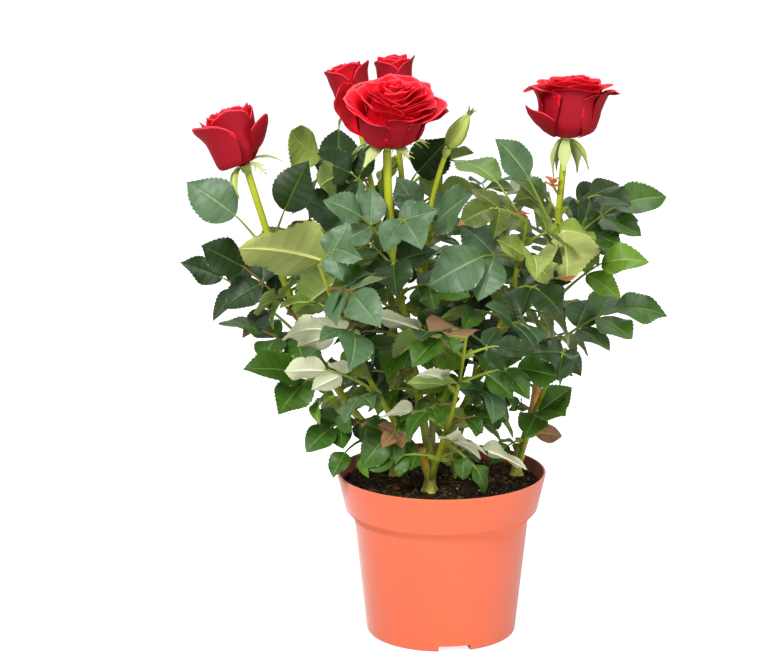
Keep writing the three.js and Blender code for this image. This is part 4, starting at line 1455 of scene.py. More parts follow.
DRIED_TIP = len(Tone) * len(LeafPart)  # the dried tips' place among the leaves' materials


def leaf_materials() -> list[Material]:
    """Returns the leaves' materials, tone by tone, and the dried tips' last."""
    made = [material for tone in Tone for material in LEAF_COLOURS[tone].materials(tone)]
    return made + dress(Finish("leaf_dried_tip", colour(150, 96, 52), 0.75))


# ------------------------------------------------------------------ leaves


@dataclass
class Leaflet:
    """How one leaflet is cut, folded, quilted and waved. Lengths are shares of its own length."""

    veins: int
    fold: float  # how far each half turns up, in radians
    bend: float
    twist: float
    wave: float
    phase: float
    tip: float
    dried: bool = False
    tooth: float = 0.065
    hook: float = 0.018
    quilt: float = 0.005
    slant: float = 0.24
    stalk: float = 0.05
    thickness: float = 0.28
    rib: float = 0.02
    rows: tuple[float, ...] = (0, 0.13, 0.5, 0.63)
    teeth: tuple[float, ...] = (1, 0, 1, 0)
    pillow: tuple[float, ...] = (-1, -1, 0.9, 0.9)
    columns: tuple[float, ...] = (0, 0.04, 0.2, 0.42, 0.65, 0.86, 1)

    @classmethod
    def rolled(cls, blade: Blade, dice: Dice, folding: float) -> "Leaflet":
        """Returns the form of one leaflet.

        Args:
            blade: Its place and size.
            dice: Where its own numbers come from.
            folding: A scale on how far its halves turn up.

        Returns:
            The form.
        """
        low = blade.middle[2] < LOW_LEAVES
        return cls(
            veins=5 if blade.length < 24 else 6 if blade.length < 32 else 7,
            fold=dice.between(0.1, 0.75) * folding,
            bend=dice.between(0.03, 0.46),
            twist=dice.between(-0.75, 0.75),
            wave=dice.between(0.015, 0.065),
            phase=dice.between(0, 2 * math.pi),
            tip=0.82 if low else dice.between(0.95, 1.15),
            dried=dice.roll() < 0.05,
        )

    def half_width(self, s: Array) -> Array:
        """Returns half the leaflet's width at shares of its length, the widest place being 1."""
        power = 0.62 + (self.tip - 0.62) * s
        return np.sin(math.pi * np.clip(s, 0.004, 0.996) ** 0.8) ** power

    def build(self, blade: Blade, tone: Tone) -> tuple[Patch, Array]:
        """Makes the leaflet's thin body.

        Args:
            blade: Its place and size.
            tone: Its tone.

        Returns:
            The body and the finish of each face.
        """
        starts = np.arange(self.veins)[:, None]
        s0 = np.append(((starts + np.array(self.rows)) / self.veins).ravel(), 1.0)
        teeth = np.append(np.tile(self.teeth, self.veins), 0)
        pillow = np.append(np.tile(self.pillow, self.veins), 0)
        half = np.array(self.columns)
        t = np.concatenate((-half[:0:-1], half))[None, :]
        side = np.abs(t)
        s = s0[:, None] + self.slant * side**1.1 * (np.sin(math.pi * s0) / math.pi)[:, None]
        margin = np.where(side == 1, 1.0, np.where(side > 0.8, 0.35, 0.0)) * teeth[:, None]
        fade = np.sin(math.pi * s0)[:, None] ** 0.5
        length, width = blade.length * (1 - self.stalk), blade.width
        x = length * (s + self.hook * margin * fade) + blade.length * self.stalk
        y = width / 2 * self.half_width(s) * t * (1 + self.tooth * margin * fade)
        relief = self.quilt * pillow[:, None] * np.sin(math.pi * side) ** 0.6 * fade
        ripple = self.wave * side**2 * np.sin(2 * math.pi * 1.6 * s + self.phase * (1 + (t > 0))) * fade
        lift = (
            np.abs(y) * math.sin(self.fold) * (1 - 0.4 * side) - self.bend * blade.length * s * s
            + y * self.twist * (s - 0.25) + blade.length * (relief + ripple)
        )
        lift = np.where(side == 0, lift - 0.006 * blade.length * fade, lift)
        y = y * math.cos(self.fold)
        x = x - length * (self.bend * s) ** 2 * 0.6
        flat = blade.base + blade.along * x[..., None] + blade.across * y[..., None]
        rib = np.where(side == 0, self.rib * blade.length * (1 - 0.8 * s), 0)
        under = lift - self.thickness - rib
        body, uppers = shell(flat + blade.face * lift[..., None], flat + blade.face * under[..., None])
        return body, self.skins(s0, t[0], tone, uppers)

    def skins(self, s0: Array, t: Array, tone: Tone, uppers: int) -> Array:
        """Returns the finish of each face of the body.

        Args:
            s0: The rows' shares of the length.
            t: The columns' shares of the half width.
            tone: The leaflet's tone.
            uppers: How many faces the upper side has.

        Returns:
            One place among the leaf materials for each face.
        """
        middle = (t[:-1] + t[1:]) / 2
        row = np.arange(len(s0) - 1)
        on_vein = (row % len(self.rows) == 0)[:, None] & (np.abs(middle) < 0.8)[None, :]
        on_rib = (np.abs(middle) < 0.05)[None, :] & (row >= 0)[:, None]
        first = tone.value * len(LeafPart)
        upper = first + np.where(on_vein, LeafPart.VEIN, LeafPart.UPPER)
        under = first + np.where(on_vein, LeafPart.UNDER_VEIN, LeafPart.UNDER)
        cell = np.sin(self.phase * 9 + 2.4 * (row // len(self.rows))[:, None] + 4.1 * middle[None, :])
        inland = (np.abs(middle) < 0.86)[None, :] & ~on_vein
        upper = np.where(inland & (cell > 0.35), first + LeafPart.SHADE, upper)
        upper = np.where(on_rib, first + LeafPart.RIB, upper)
        under = np.where(on_rib, first + LeafPart.UNDER_RIB, under)
        if self.dried:
            dry = (s0[:-1] > 0.84)[:, None] & np.ones(len(middle), bool)[None, :]
            upper = np.where(dry, DRIED_TIP, upper)
            under = np.where(dry, DRIED_TIP, under)
        return np.concatenate((upper.ravel(), under.ravel()))[: 2 * uppers]


@dataclass
class Foliage:
    """All leaves and their stalks. Sizes are in millimetres."""

    stalk_root: float = 1.15
    stalk_tip: float = 0.55
    stalk_sides: int = 7
    stalk_rows: int = 12
    petiolule: float = 0.42
    stipule: float = 7.0
    depth_of_inside: float = 0.62  # the share of the bush's reach where its outer tones begin
    russet: float = 0.2  # a scale on how far the leaflets of listed leaves fold up
    flat: float = 0.45  # a scale on how far the leaflets of hand-placed leaves fold up
    young_fold: float = 1.6
    tuft_leaves: int = 6
    leaves: list[Leaf] = field(default_factory=plan_leaves)

    def tone_of(self, leaf: Leaf, dice: Dice) -> Tone:
        """Deals out the leaf's tone: fresh and olive ones inside, dark ones and the blue ones of painted sky
        sheen outside.

        Args:
            leaf: The leaf.
            dice: Where its numbers come from.

        Returns:
            The tone.
        """
        if leaf.tone:
            return leaf.tone
        tip = leaf.bones[2]
        depth = math.hypot(tip[0] - CROWN_MIDDLE[0], tip[1]) / np.interp(tip[2], CROWN_HEIGHTS, CROWN_RADII)
        outside = (0.24, 0.27, 0.28, 0.12, 0.02, 0.04, 0.02, 0.01)
        inside = (0.06, 0.3, 0.24, 0.14, 0.04, 0.18, 0.02, 0.02)
        low = (0.02, 0.16, 0.5, 0.16, 0.02, 0.08, 0.04, 0.02)
        weights = low if tip[2] < LOW_LEAVES else outside if depth > self.depth_of_inside else inside
        return list(Tone)[dice.pick(weights)]

    def stalks(self, leaf: Leaf) -> list[Patch]:
        """Makes a leaf's stalk, the short stalks of its leaflets and its two stipules.

        Args:
            leaf: The leaf.

        Returns:
            The stalks and stipules.
        """
        shares = np.linspace(0, leaf.end, self.stalk_rows)
        path = leaf.path(shares)
        radii = np.linspace(self.stalk_root, self.stalk_tip, self.stalk_rows)
        radii[0] *= 1.35
        made = [sweep(path, radii, self.stalk_sides)]
        for blade in leaf.blades:
            short = blade.base + blade.along * blade.length * np.linspace(0, 0.12, 4)[:, None]
            made.append(sweep(short, np.linspace(self.stalk_tip, self.petiolule, 4), 5))
        onward = unit(path[2] - path[0])
        normal = flat_part(leaf.face, onward)
        aside = np.cross(normal, onward)
        reach = steps(6)
        for side in (1, -1):
            edge = path[0] + onward * self.stipule * reach
            out = aside * side * (self.stalk_root + 1.3 * np.sin(math.pi * reach * 0.85) + 0.8 * reach**3)
            wing = np.stack((edge, edge + out * 0.55 + normal * 0.25, edge + out), 1)
            made.append(shell(wing[:, ::side], wing[:, ::side] - normal * 0.2)[0])
        return made

    def tuft(self, tuft: Tuft, dice: Dice) -> tuple[Patch, list[tuple[Patch, Array]]]:
        """Makes a tuft of young leaves on its side shoot.

        Args:
            tuft: Where it is.
            dice: Where its numbers come from.

        Returns:
            The side shoot, and each leaflet with its faces' finishes.
        """
        shares = np.linspace(0.1, 1, 60)
        stem, tip = SHOOT_NAMED[tuft.shoot].at(shares), vec(*tuft.at)
        root = stem[np.argmin(np.linalg.norm(stem + UP * tuft.size - tip, axis=1))]
        path = arc(root, (root + tip) / 2 - UP * 4, tip, steps(10))
        leaflets = []
        for k in range(self.tuft_leaves):
            turn = k * GOLDEN_TURN
            along = unit(around(turn, dice.between(0.5, 1.4)))
            face = flat_part(UP - around(turn) * 0.4, along)
            blade = Blade.planned(tip - UP * k * 0.7, along, face, tuft.size * dice.between(0.7, 1.1))
            leaflets.append(Leaflet.rolled(blade, dice, self.young_fold).build(blade, Tone.YOUNG))
        return sweep(path, np.linspace(1.1, 0.6, 10), self.stalk_sides), leaflets

    def build(self) -> list[Thing]:
        """Makes the leaves, grouped by shoots into joined pieces, and their stalks.

        Returns:
            The pieces.
        """
        finishes = leaf_materials()
        stalk_finishes = dress(
            Finish("stalk_green", colour(132, 150, 48)), Finish("stalk_russet", colour(130, 106, 56))
        )
        blades: list[Joiner] = []
        homes: list[set[str]] = []
        stalks = Joiner("leaf_stalks", stalk_finishes)
        order = 0
        for shoot in SHOOTS:
            own = [leaf for leaf in self.leaves if leaf.shoot is shoot]
            if not blades or blades[-1].triangles() > PIECE_FULL:
                blades.append(Joiner(f"leaves_{len(blades) + 1}", finishes))
                homes.append(set())
            homes[-1].add(f"shoot_{shoot.name}")
            for leaf in own:
                order += 1
                dice = Dice(Seed.LEAVES + order)
                tone = self.tone_of(leaf, dice)
                russet = int(dice.roll() < self.russet)
                for blade in leaf.blades:
                    if blade is not leaf.blades[0] and leaf.pair_tone:
                        tone = leaf.pair_tone
                    form = Leaflet.rolled(blade, dice, self.flat if leaf.tone else 1.0)
                    body, skins = form.build(blade.turned(leaf.roll), tone)
                    blades[-1].add(body, skins)
                for patch in self.stalks(leaf):
                    stalks.add(patch, russet)
        for order, tuft in enumerate(TUFTS):
            side_shoot, leaflets = self.tuft(tuft, Dice(Seed.TUFTS + order))
            stalks.add(side_shoot, 0)
            for body, skins in leaflets:
                blades[-1].add(body, skins)
        made = [finish_piece(joiner, sorted(nodes)) for joiner, nodes in zip(blades, homes)]
        return [*made, finish_piece(stalks, [f"shoot_{shoot.name}" for shoot in SHOOTS])]


def finish_piece(joiner: Joiner, nodes: list[str]) -> Thing:
    """Builds a piece, puts it on the plant's body and hides the nodes that it stands for.

    Args:
        joiner: The gathered mesh.
        nodes: The nodes that it replaces.

    Returns:
        The piece.
    """
    piece = joiner.build()
    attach(piece, "root")
    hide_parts(*nodes)
    log.info("%s: %d triangles for %d nodes", joiner.name, joiner.triangles(), len(nodes))
    return piece


# ------------------------------------------------------------------ crowns, canes and stems


class CrownPart(IntEnum):
    """The finishes of a crown."""

    BARK = 0
    CUT = 1
    AGED = 2


class CanePart(IntEnum):
    """The finishes of a cane."""

    GREEN = 0
    RUSSET = 1
    THORN = 2


class StemPart(IntEnum):
    """The finishes of a green stem."""

    GREEN = 0
    RUSSET = 1
    FRESH = 2
    THORN = 3


@dataclass
class Limbs:
    """The woody crowns and canes, and the green stems that go on from them. Sizes are in millimetres."""

    leaves: list[Leaf]
    row: float = 1.6
    sides: int = 16
    node_swell: float = 0.2
    node_reach: float = 1.8
    thorn: float = 3.4
    thorn_spacing: float = 19.0
    stub: float = 9.0
    cane_rough: float = 0.09
    russet_rough: float = 0.05
    stem_rough: float = 0.04
    fresh_rough: float = 0.02
    lowest_thorn: float = 0.04
    russet_part: float = 0.55  # how far up its green stem the russet shoot stays russet
    russet_shoot: str = "tall_right"
    stout: dict[Flower, float] = field(
        default_factory=lambda: {Flower.OPEN: 0.42, Flower.LEANING: 0.4, Flower.SIDE: 0.2}
    )

    def stem(self, shoot: Shoot, low: float, high: float, rough: float) -> Patch:
        """Makes a stretch of a shoot with its nodes swollen and its skin slightly uneven.

        Args:
            shoot: The shoot.
            low: The share of it where the stretch starts.
            high: The share where it ends.
            rough: How uneven the skin is, as a share of the radius.

        Returns:
            The stretch as a patch.
        """
        rows = max(6, int(shoot.length() * (high - low) / self.row))
        shares = np.linspace(low, high, rows)
        path = shoot.at(shares)
        girth = np.asarray(shoot.thickness(shares)) * (1 + self.stout.get(shoot.flower, 0) * shares**3)
        radii = np.tile(girth[:, None], self.sides)
        for leaf in self.leaves:
            if leaf.shoot is shoot:
                away = np.linalg.norm(path - leaf.bones[0], axis=1)
                radii *= (1 + self.node_swell * np.exp(-((away / self.node_reach) ** 2)))[:, None]
        angles = np.arange(self.sides) * 2 * math.pi / self.sides
        for row, point in enumerate(path):
            for side, angle in enumerate(angles):
                spot = Vector((math.cos(angle) * 1.3, math.sin(angle) * 1.3, point[2] * 0.16))
                radii[row, side] *= 1 + rough * noise.noise(spot + Vector(path[0] * 0.37))
        return sweep(path, radii, self.sides)

    def thorns(self, shoot: Shoot, low: float, high: float, dice: Dice) -> list[Patch]:
        """Makes the hooked thorns along a stretch of a shoot.

        Args:
            shoot: The shoot.
            low: The share of it where the stretch starts.
            high: The share where it ends.
            dice: Where their numbers come from.

        Returns:
            The thorns.
        """
        made = []
        count = int(shoot.length() * (high - low) / self.thorn_spacing)
        for k in range(count):
            share = lerp(low, high, (k + dice.between(0.2, 0.8)) / count)
            root = shoot.at(share)
            ahead = unit(shoot.at(share + 0.01) - root)
            turn = dice.between(0, 2 * math.pi)
            out = flat_part(around(turn, 0.1), ahead)
            size = self.thorn * dice.between(0.6, 1)
            reach = steps(6)
            start = shoot.thickness(share) * 0.8
            line = root + out * (start + size * reach) - ahead * size * 0.35 * reach**2
            made.append(sweep(line, np.array((1.05, 0.8, 0.52, 0.32, 0.16, 0.03)) * size / 3, 7))
        return made

    def crown(self, crown: Crown) -> Patch:
        """Makes one gnarled crown, flared at the mix and knuckled at its top.

        Args:
            crown: The crown's place and size.

        Returns:
            The crown as a patch.
        """
        shares = np.linspace(0, 1, 34)
        girth = np.interp(shares, (0, 0.1, 0.25, 0.6, 0.85, 0.96, 1), (1.15, 1, 0.84, 0.76, 0.88, 0.78, 0.5))
        path = np.array([crown.point(share) for share in shares])
        path[0][2] -= 2 * GAP
        sides = 28
        radii = np.tile(crown.radius * girth[:, None], sides)
        for row, share in enumerate(shares):
            for side in range(sides):
                angle = side * 2 * math.pi / sides
                spot = Vector((math.cos(angle) * 1.1 + crown.at[0], math.sin(angle) * 1.1, share * 2.4))
                flare = (1 - share) ** 4 * 0.12 * math.sin(3 * angle + crown.at[0])
                radii[row, side] *= 1 + flare + 0.16 * noise.fractal(spot, 0.8, 2.1, 4)
        return sweep(path, radii, sides)

    def stubs(self, crown: Crown, dice: Dice) -> list[tuple[Patch, int]]:
        """Makes two pruned stubs on a crown, each with its pale cut.

        Args:
            crown: The crown that bears them.
            dice: Where their numbers come from.

        Returns:
            Each stub's bark and cut, with their finishes.
        """
        made = []
        for k in range(2):
            turn = dice.between(0, 2 * math.pi)
            ahead = around(turn) * 0.55 + UP
            size = self.stub * dice.between(0.7, 1.1)
            root, radius = crown.point(0.8), crown.radius * dice.between(0.42, 0.55)
            aged = 1.0
            if crown.snag and not k:
                root, radius, aged = crown.point(0.35), crown.radius * 0.62, 0.6
                ahead = vec(*crown.snag) - root
                size = float(np.linalg.norm(ahead))
            out = unit(ahead)
            reach = steps(13)
            path = root + out * size * reach
            radii = radius * (1 + 0.14 * reach.ravel() ** 4)
            barked = int(aged * 12) + 1
            made.append((sweep(path[:barked], radii[:barked], 14), CrownPart.BARK))
            if aged < 1:
                made.append((sweep(path[barked - 1:], radii[barked - 1:] * 0.97, 14), CrownPart.AGED))
            cut = path[-1] + out * np.array(((0,), (0.18,)))
            made.append((sweep(cut, radii[-1] * np.array((1.02, 0.92)), 14), CrownPart.CUT))
        return made

    def build(self) -> list[Thing]:
        """Makes the crowns, the canes and the green stems.

        Returns:
            The pieces.
        """
        bark = WornFinish(
            "crown_bark", colour(172, 170, 56), 0.6, second=colour(224, 216, 98), patch=260,
            relief=0.55, relief_depth=0.0006, furrow=900,
        )
        aged = WornFinish(
            "aged_stub", colour(214, 170, 44), 0.6, second=colour(226, 136, 52), patch=200, spread=0.25,
            relief=0.4, relief_depth=0.0004, furrow=900,
        )
        cane_green = WornFinish(
            "cane_green", colour(120, 134, 36), second=colour(176, 184, 66), patch=120,
            relief=0.35, relief_depth=0.0003, furrow=1100,
        )
        cane_russet = replace(
            cane_green, name="cane_russet", base=colour(150, 92, 44), second=colour(196, 140, 78)
        )
        cut = Finish("pruning_cut", colour(232, 190, 104), 0.7)
        thorn = Finish("thorn", colour(150, 96, 60), 0.45)
        stem_green = Finish("stem_green", colour(146, 158, 34), 0.45, specular=0.3)
        stem_russet = Finish("stem_russet", colour(158, 116, 60))
        stem_fresh = Finish("stem_fresh", colour(174, 182, 38), 0.42, specular=0.3)
        crowns = Joiner("crowns", dress(bark, cut, aged))
        canes = Joiner("canes", dress(cane_green, cane_russet, thorn))
        stems = Joiner("green_stems", dress(stem_green, stem_russet, stem_fresh, thorn))
        for order, crown in enumerate(CROWNS.values()):
            crowns.add(self.crown(crown), CrownPart.BARK)
            for patch, skin in self.stubs(crown, Dice(Seed.STUBS + order)):
                crowns.add(patch, skin)
        for order, shoot in enumerate(SHOOTS):
            dice = Dice(Seed.LIMBS + order)
            russet = shoot.name == self.russet_shoot
            low, high = shoot.leafy
            cane = self.stem(shoot, 0, low, self.cane_rough)
            canes.add(cane, CanePart.RUSSET if russet else CanePart.GREEN)
            for patch in self.thorns(shoot, self.lowest_thorn, low, dice):
                canes.add(patch, CanePart.THORN)
            top = high if shoot.flower else 1.0
            middle = lerp(low, top, self.russet_part) if russet else low
            if russet:
                stems.add(self.stem(shoot, low, middle, self.russet_rough), StemPart.RUSSET)
            stems.add(self.stem(shoot, middle, top, self.stem_rough), StemPart.GREEN)
            if shoot.flower:
                stems.add(self.stem(shoot, top, 1, self.fresh_rough), StemPart.FRESH)
            for patch in self.thorns(shoot, low, top, dice):
                stems.add(patch, StemPart.THORN)
        leafy = [f"shoot_{shoot.name}" for shoot in SHOOTS]
        return [
            finish_piece(crowns, [f"crown_{name}" for name in CROWNS]),
            finish_piece(canes, [f"cane_{shoot.name}" for shoot in SHOOTS]),
            finish_piece(stems, leafy + FLOWER_STEMS),
        ]


# ------------------------------------------------------------------ flowers


class PetalPart(IntEnum):
    """The faces of a petal: its rim row in a paler red of painted highlight, and the outermost ones' backs in
    a deeper red of painted shade.
    """

    INNER = 0
    OUTER = 1
    LIP = 2
    GUARD = 3


PETAL_STOPS = np.array((0, 0.25, 0.55, 0.82, 1.0))
OUTERMOST = 0.84  # the share of a bloom's petals after which their backs take a deeper red of painted shade
FRONT_DROP = np.array((0, 0, 0.1, 0.4, 1))  # how far each stop of a front petal's line draws in
HEART_PETAL = np.array(((0.7, 0.02), (1.25, 0.3), (1.35, 0.6), (1.1, 0.88), (0.75, 1.0)))


@dataclass(frozen=True)
class BloomForm:
    """How a bloom is filled. Radii are shares of half its width, and heights of its height.

    The cup is the line of its outermost petals, read at PETAL_STOPS from their foot to their rim. Each extra
    petal has its turn and half its width in degrees, how far its rim rolls back, and its line.
    """

    petals: int
    heart: float
    cup: tuple[Pair, ...]
    wrap: Pair  # half the angle that a petal wraps, in degrees, in the heart and outermost
    wild: float  # how uneven its petals are
    spread: float = 1.0
    dome: float = 2.2
    shy: float = 0.0  # how far the petals in front draw in
    tall: float = 1.0
    lean: Triple = (0.0, 0.0, 0.0)
    sway: float = 0.0  # how far its top is set aside, in millimetres
    curl: float = 0.3  # how far its outer rims roll back at their sides, in millimetres
    tuck: float = 0.03
    shoulder: float = 0.28
    extra: tuple[tuple[float, float, float, tuple[Pair, ...]], ...] = ()


RIM_PETAL = ((0.3, 0.02), (0.54, 0.14), (0.64, 0.42), (0.84, 0.6), (0.98, 0.58))
SIDE_LOBE = ((0.36, 0.02), (0.72, 0.2), (0.9, 0.46), (1.03, 0.67), (1.0, 0.83))
WING = ((0.22, 0.03), (0.52, 0.12), (0.74, 0.24), (0.9, 0.38), (0.98, 0.52))
ROLLED_RIM = ((0.3, 0.02), (0.58, 0.18), (0.68, 0.54), (0.9, 0.8), (1.02, 0.7))
HIGH_RIM = ((0.3, 0.02), (0.58, 0.18), (0.68, 0.5), (0.8, 0.76), (1.02, 0.74))
HALF_OPEN_WING = ((0.2, 0.06), (0.56, 0.2), (0.8, 0.38), (0.94, 0.54), (1.0, 0.68))
APRON = ((0.26, 0.0), (0.63, 0.02), (0.74, 0.28), (0.84, 0.6), (1.08, 0.86))
BLOOM_FORMS = {
    Flower.OPEN: BloomForm(
        petals=36, heart=0.09, cup=((0.32, 0.0), (0.5, 0.1), (0.6, 0.36), (0.75, 0.63), (1.0, 0.67)),
        wrap=(128, 48), wild=1.5, spread=0.95, dome=1.8, shy=0.2, tall=1.06, lean=(-0.06, 0, 0), sway=3.6,
        curl=2.0, tuck=0.08, shoulder=0.18,
        extra=((-6, 24, 1.2, RIM_PETAL), (166, 28, -0.6, SIDE_LOBE)),
    ),
    Flower.SIDE: BloomForm(
        petals=27, heart=0.1, cup=((0.32, 0.0), (0.58, 0.12), (0.63, 0.42), (0.69, 0.74), (1.04, 0.8)),
        wrap=(130, 52), wild=0.8, dome=2.8, shy=0.16, sway=3.6, curl=1.6, tuck=0.08, shoulder=0.18,
        extra=((200, 48, 0.8, WING), (-8, 34, 1.0, HIGH_RIM), (176, 38, 1.4, ROLLED_RIM)),
    ),
    Flower.LEANING: BloomForm(
        petals=18, heart=0.12, cup=((0.24, 0.0), (0.52, 0.16), (0.62, 0.46), (0.7, 0.76), (0.75, 0.95)),
        wrap=(135, 58), wild=0.5, tall=0.92, lean=(0, 0.24, 0), curl=0.8,
        extra=((-18, 36, 1.2, HALF_OPEN_WING), (216, 62, 0.6, APRON)),
    ),
    Flower.CUPPED: BloomForm(
        petals=14, heart=0.14, cup=((0.24, 0.0), (0.56, 0.2), (0.68, 0.5), (0.77, 0.8), (0.9, 0.94)),
        wrap=(140, 66), wild=0.7, tall=0.86,
    ),
    Flower.NARROW: BloomForm(
        petals=14, heart=0.14, cup=((0.26, 0.0), (0.6, 0.2), (0.7, 0.5), (0.76, 0.8), (0.92, 0.95)),
        wrap=(140, 66), wild=0.7, tall=0.9, lean=(-0.16, 0, 0),
    ),
}


@dataclass(frozen=True)
class Petal:
    """One petal: its turn round the bloom, its line from foot to rim and how it curls. In millimetres."""

    turn: float
    half_angle: float
    line: Array
    tuck: float
    ripple: float
    phase: float
    roll: float
    rows: int = 14
    columns: int = 13
    last_row: float = 0.972
    thickness: float = 0.32
    least: float = 0.15
    shoulder: float = 0.18
    point: float = 0.05
    narrow_foot: float = 0.6

    def build(self) -> Patch:
        """Makes the petal's thin body.

        Returns:
            The body, its inner side first.
        """
        u0 = np.append(np.linspace(0, self.last_row, self.rows - 1), 1.0)[:, None]
        v = np.linspace(-1, 1, self.columns)[None, :]
        middle = np.exp(-((v / 0.24) ** 2))
        u = np.clip(u0 * (1 - self.shoulder * np.abs(v) ** 3.2 + self.point * (middle - 1)), 0, 1)
        line = smooth_line(PETAL_STOPS, self.line, u)
        ripple = self.ripple * u**4 * np.sin(3.1 * v * math.pi / 2 + self.phase)
        curl = self.roll * v * v * u**6
        radius = line[..., 0] * (1 + self.tuck * v * u) + ripple + 0.6 * curl
        height = line[..., 1] + 0.6 * ripple * np.cos(2.3 * v + self.phase) - curl
        opening = self.narrow_foot + (1 - self.narrow_foot) * np.sin(math.pi / 2 * np.clip(u * 1.6, 0, 1))
        angle = self.turn + self.half_angle * v * opening
        radius = np.maximum(radius, self.least)
        faces = [
            np.stack((side * np.cos(angle), side * np.sin(angle), height), 2)
            for side in (radius, radius + self.thickness)
        ]
        return shell(*faces)[0]

    def skins(self, guard: bool) -> Array:
        """Deals out the finishes: the rim row is a paler red of painted highlight, and an outermost petal's
        back a deeper red of painted shade.

        Args:
            guard: Whether it is one of the outermost petals.

        Returns:
            The finish of each face.
        """
        rows = np.repeat(np.arange(self.rows - 1), self.columns - 1)
        inner = np.where(rows == self.rows - 2, PetalPart.LIP, PetalPart.INNER)
        back = PetalPart.GUARD if guard else PetalPart.OUTER
        outer = np.where(rows == self.rows - 2, PetalPart.LIP, back)
        return np.concatenate((inner, outer))


@dataclass(frozen=True)
class SepalForm:
    """How a flower's sepals look. Lengths are in millimetres, and how far they turn down in radians."""

    length: float
    width: float
    droop: Pair
    leafy: bool
    pale: float
    rise: float = 0.3
    turn: float = 20.0  # where the first one stands, in degrees


SEPAL_FORMS = {
    Flower.OPEN: SepalForm(25, 9, (0.2, 0.9), True, 0.9, 0.1, 16),
    Flower.SIDE: SepalForm(25, 8.5, (0.5, 0.9), False, 0.9, -0.8, 50),
    Flower.LEANING: SepalForm(22, 4.6, (0.5, 1.9), True, 0.5, 0.2),
    Flower.CUPPED: SepalForm(17, 4.6, (1.4, 2.4), False, 0.3),
    Flower.NARROW: SepalForm(17, 4.6, (1.4, 2.4), False, 0.3),
}


class CalyxPart(IntEnum):
    """The finishes of a calyx and its sepals."""

    GREEN = 0
    PALE = 1
    DARK = 2


class BudPart(IntEnum):
    """The finishes of the closed bud."""

    PALE = 0
    DEEP = 1
    TIP = 2


@dataclass
class Calyx:
    """The swollen top of a flower's stalk and its sepals. Sizes are in millimetres."""

    radius: float = 3.4
    height: float = 6.5
    sepals: int = 5
    lobes: int = 3
    swing: float = 0.25  # how much higher the sepal on one side stands, in radians
    highest: float = -0.3  # the side it stands on
    dried_from: int = 12  # the row where a sepal's dark tip starts

    def swelling(self, size: float) -> Patch:
        """Makes the swollen top, standing on the stalk's tip.

        Args:
            size: A scale on its width.

        Returns:
            The swelling as a patch.
        """
        heights = np.linspace(0, 1, 12)
        girth = np.interp(heights, (0, 0.2, 0.45, 0.7, 0.88, 1), (0.5, 0.72, 0.98, 1.0, 0.9, 1.05))
        profile = np.stack((self.radius * size * girth, self.height * heights), 1)
        return lathe(np.concatenate(([(0, -1)], profile, [(0, self.height)])), 20)

    def sepal(
        self, form: SepalForm, angle: float, droop: float, size: float, leafy: bool, skin: int
    ) -> list[tuple[Patch, Array | int]]:
        """Makes one sepal that leaves the calyx and turns down, its tip darker.

        Args:
            form: Its size.
            angle: Its turn round the calyx.
            droop: How far it turns down along its length, in radians.
            size: A scale on its size.
            leafy: Whether side lobes stand on it.
            skin: Its finish.

        Returns:
            The sepal and its lobes, with their finishes.
        """
        rows = 15
        shares = np.linspace(0, 1, rows)
        rise = form.rise + self.swing * math.cos(angle - self.highest) - droop * shares**0.7
        step = form.length * size / (rows - 1)
        out = np.cumsum(np.cos(rise)) * step
        up = np.cumsum(np.sin(rise)) * step
        radial = around(angle)
        aside = np.cross(UP, radial)
        line = radial * (self.radius * 0.7 + out)[:, None] + UP * (self.height * 0.95 + up)[:, None]
        normal = unit(-radial * np.sin(rise)[:, None] + UP * np.cos(rise)[:, None])
        half = form.width * size / 2 * np.sin(math.pi * np.clip(0.12 + 0.88 * shares, 0, 0.985)) ** 0.9
        half *= np.interp(shares, (0.5, 0.72, 1), (1, 0.5, 0.4))
        across = np.linspace(-1, 1, 5)
        cup = 0.35 * half[:, None] * (across**2)[None, :]
        upper = line[:, None] + aside * (half[:, None] * across)[..., None] + normal[:, None] * cup[..., None]
        tones = np.where(np.arange(rows - 1) < self.dried_from, skin, CalyxPart.DARK)
        made = [(shell(upper, upper - normal[:, None] * 0.35)[0], np.tile(np.repeat(tones, 4), 2))]
        reach = steps(5)
        for row in range(4, 4 + 3 * self.lobes, 3) if leafy else ():
            for side in (1, -1):
                heading = unit(aside * side * 0.8 + (line[row + 1] - line[row]) / step)
                spine = line[row] + aside * side * half[row] * 0.8 + heading * 5.5 * size * reach
                spine = spine - UP * 1.2 * reach**2
                made.append((sweep(spine, np.linspace(0.5, 0.1, 5), 5), skin))
        return made


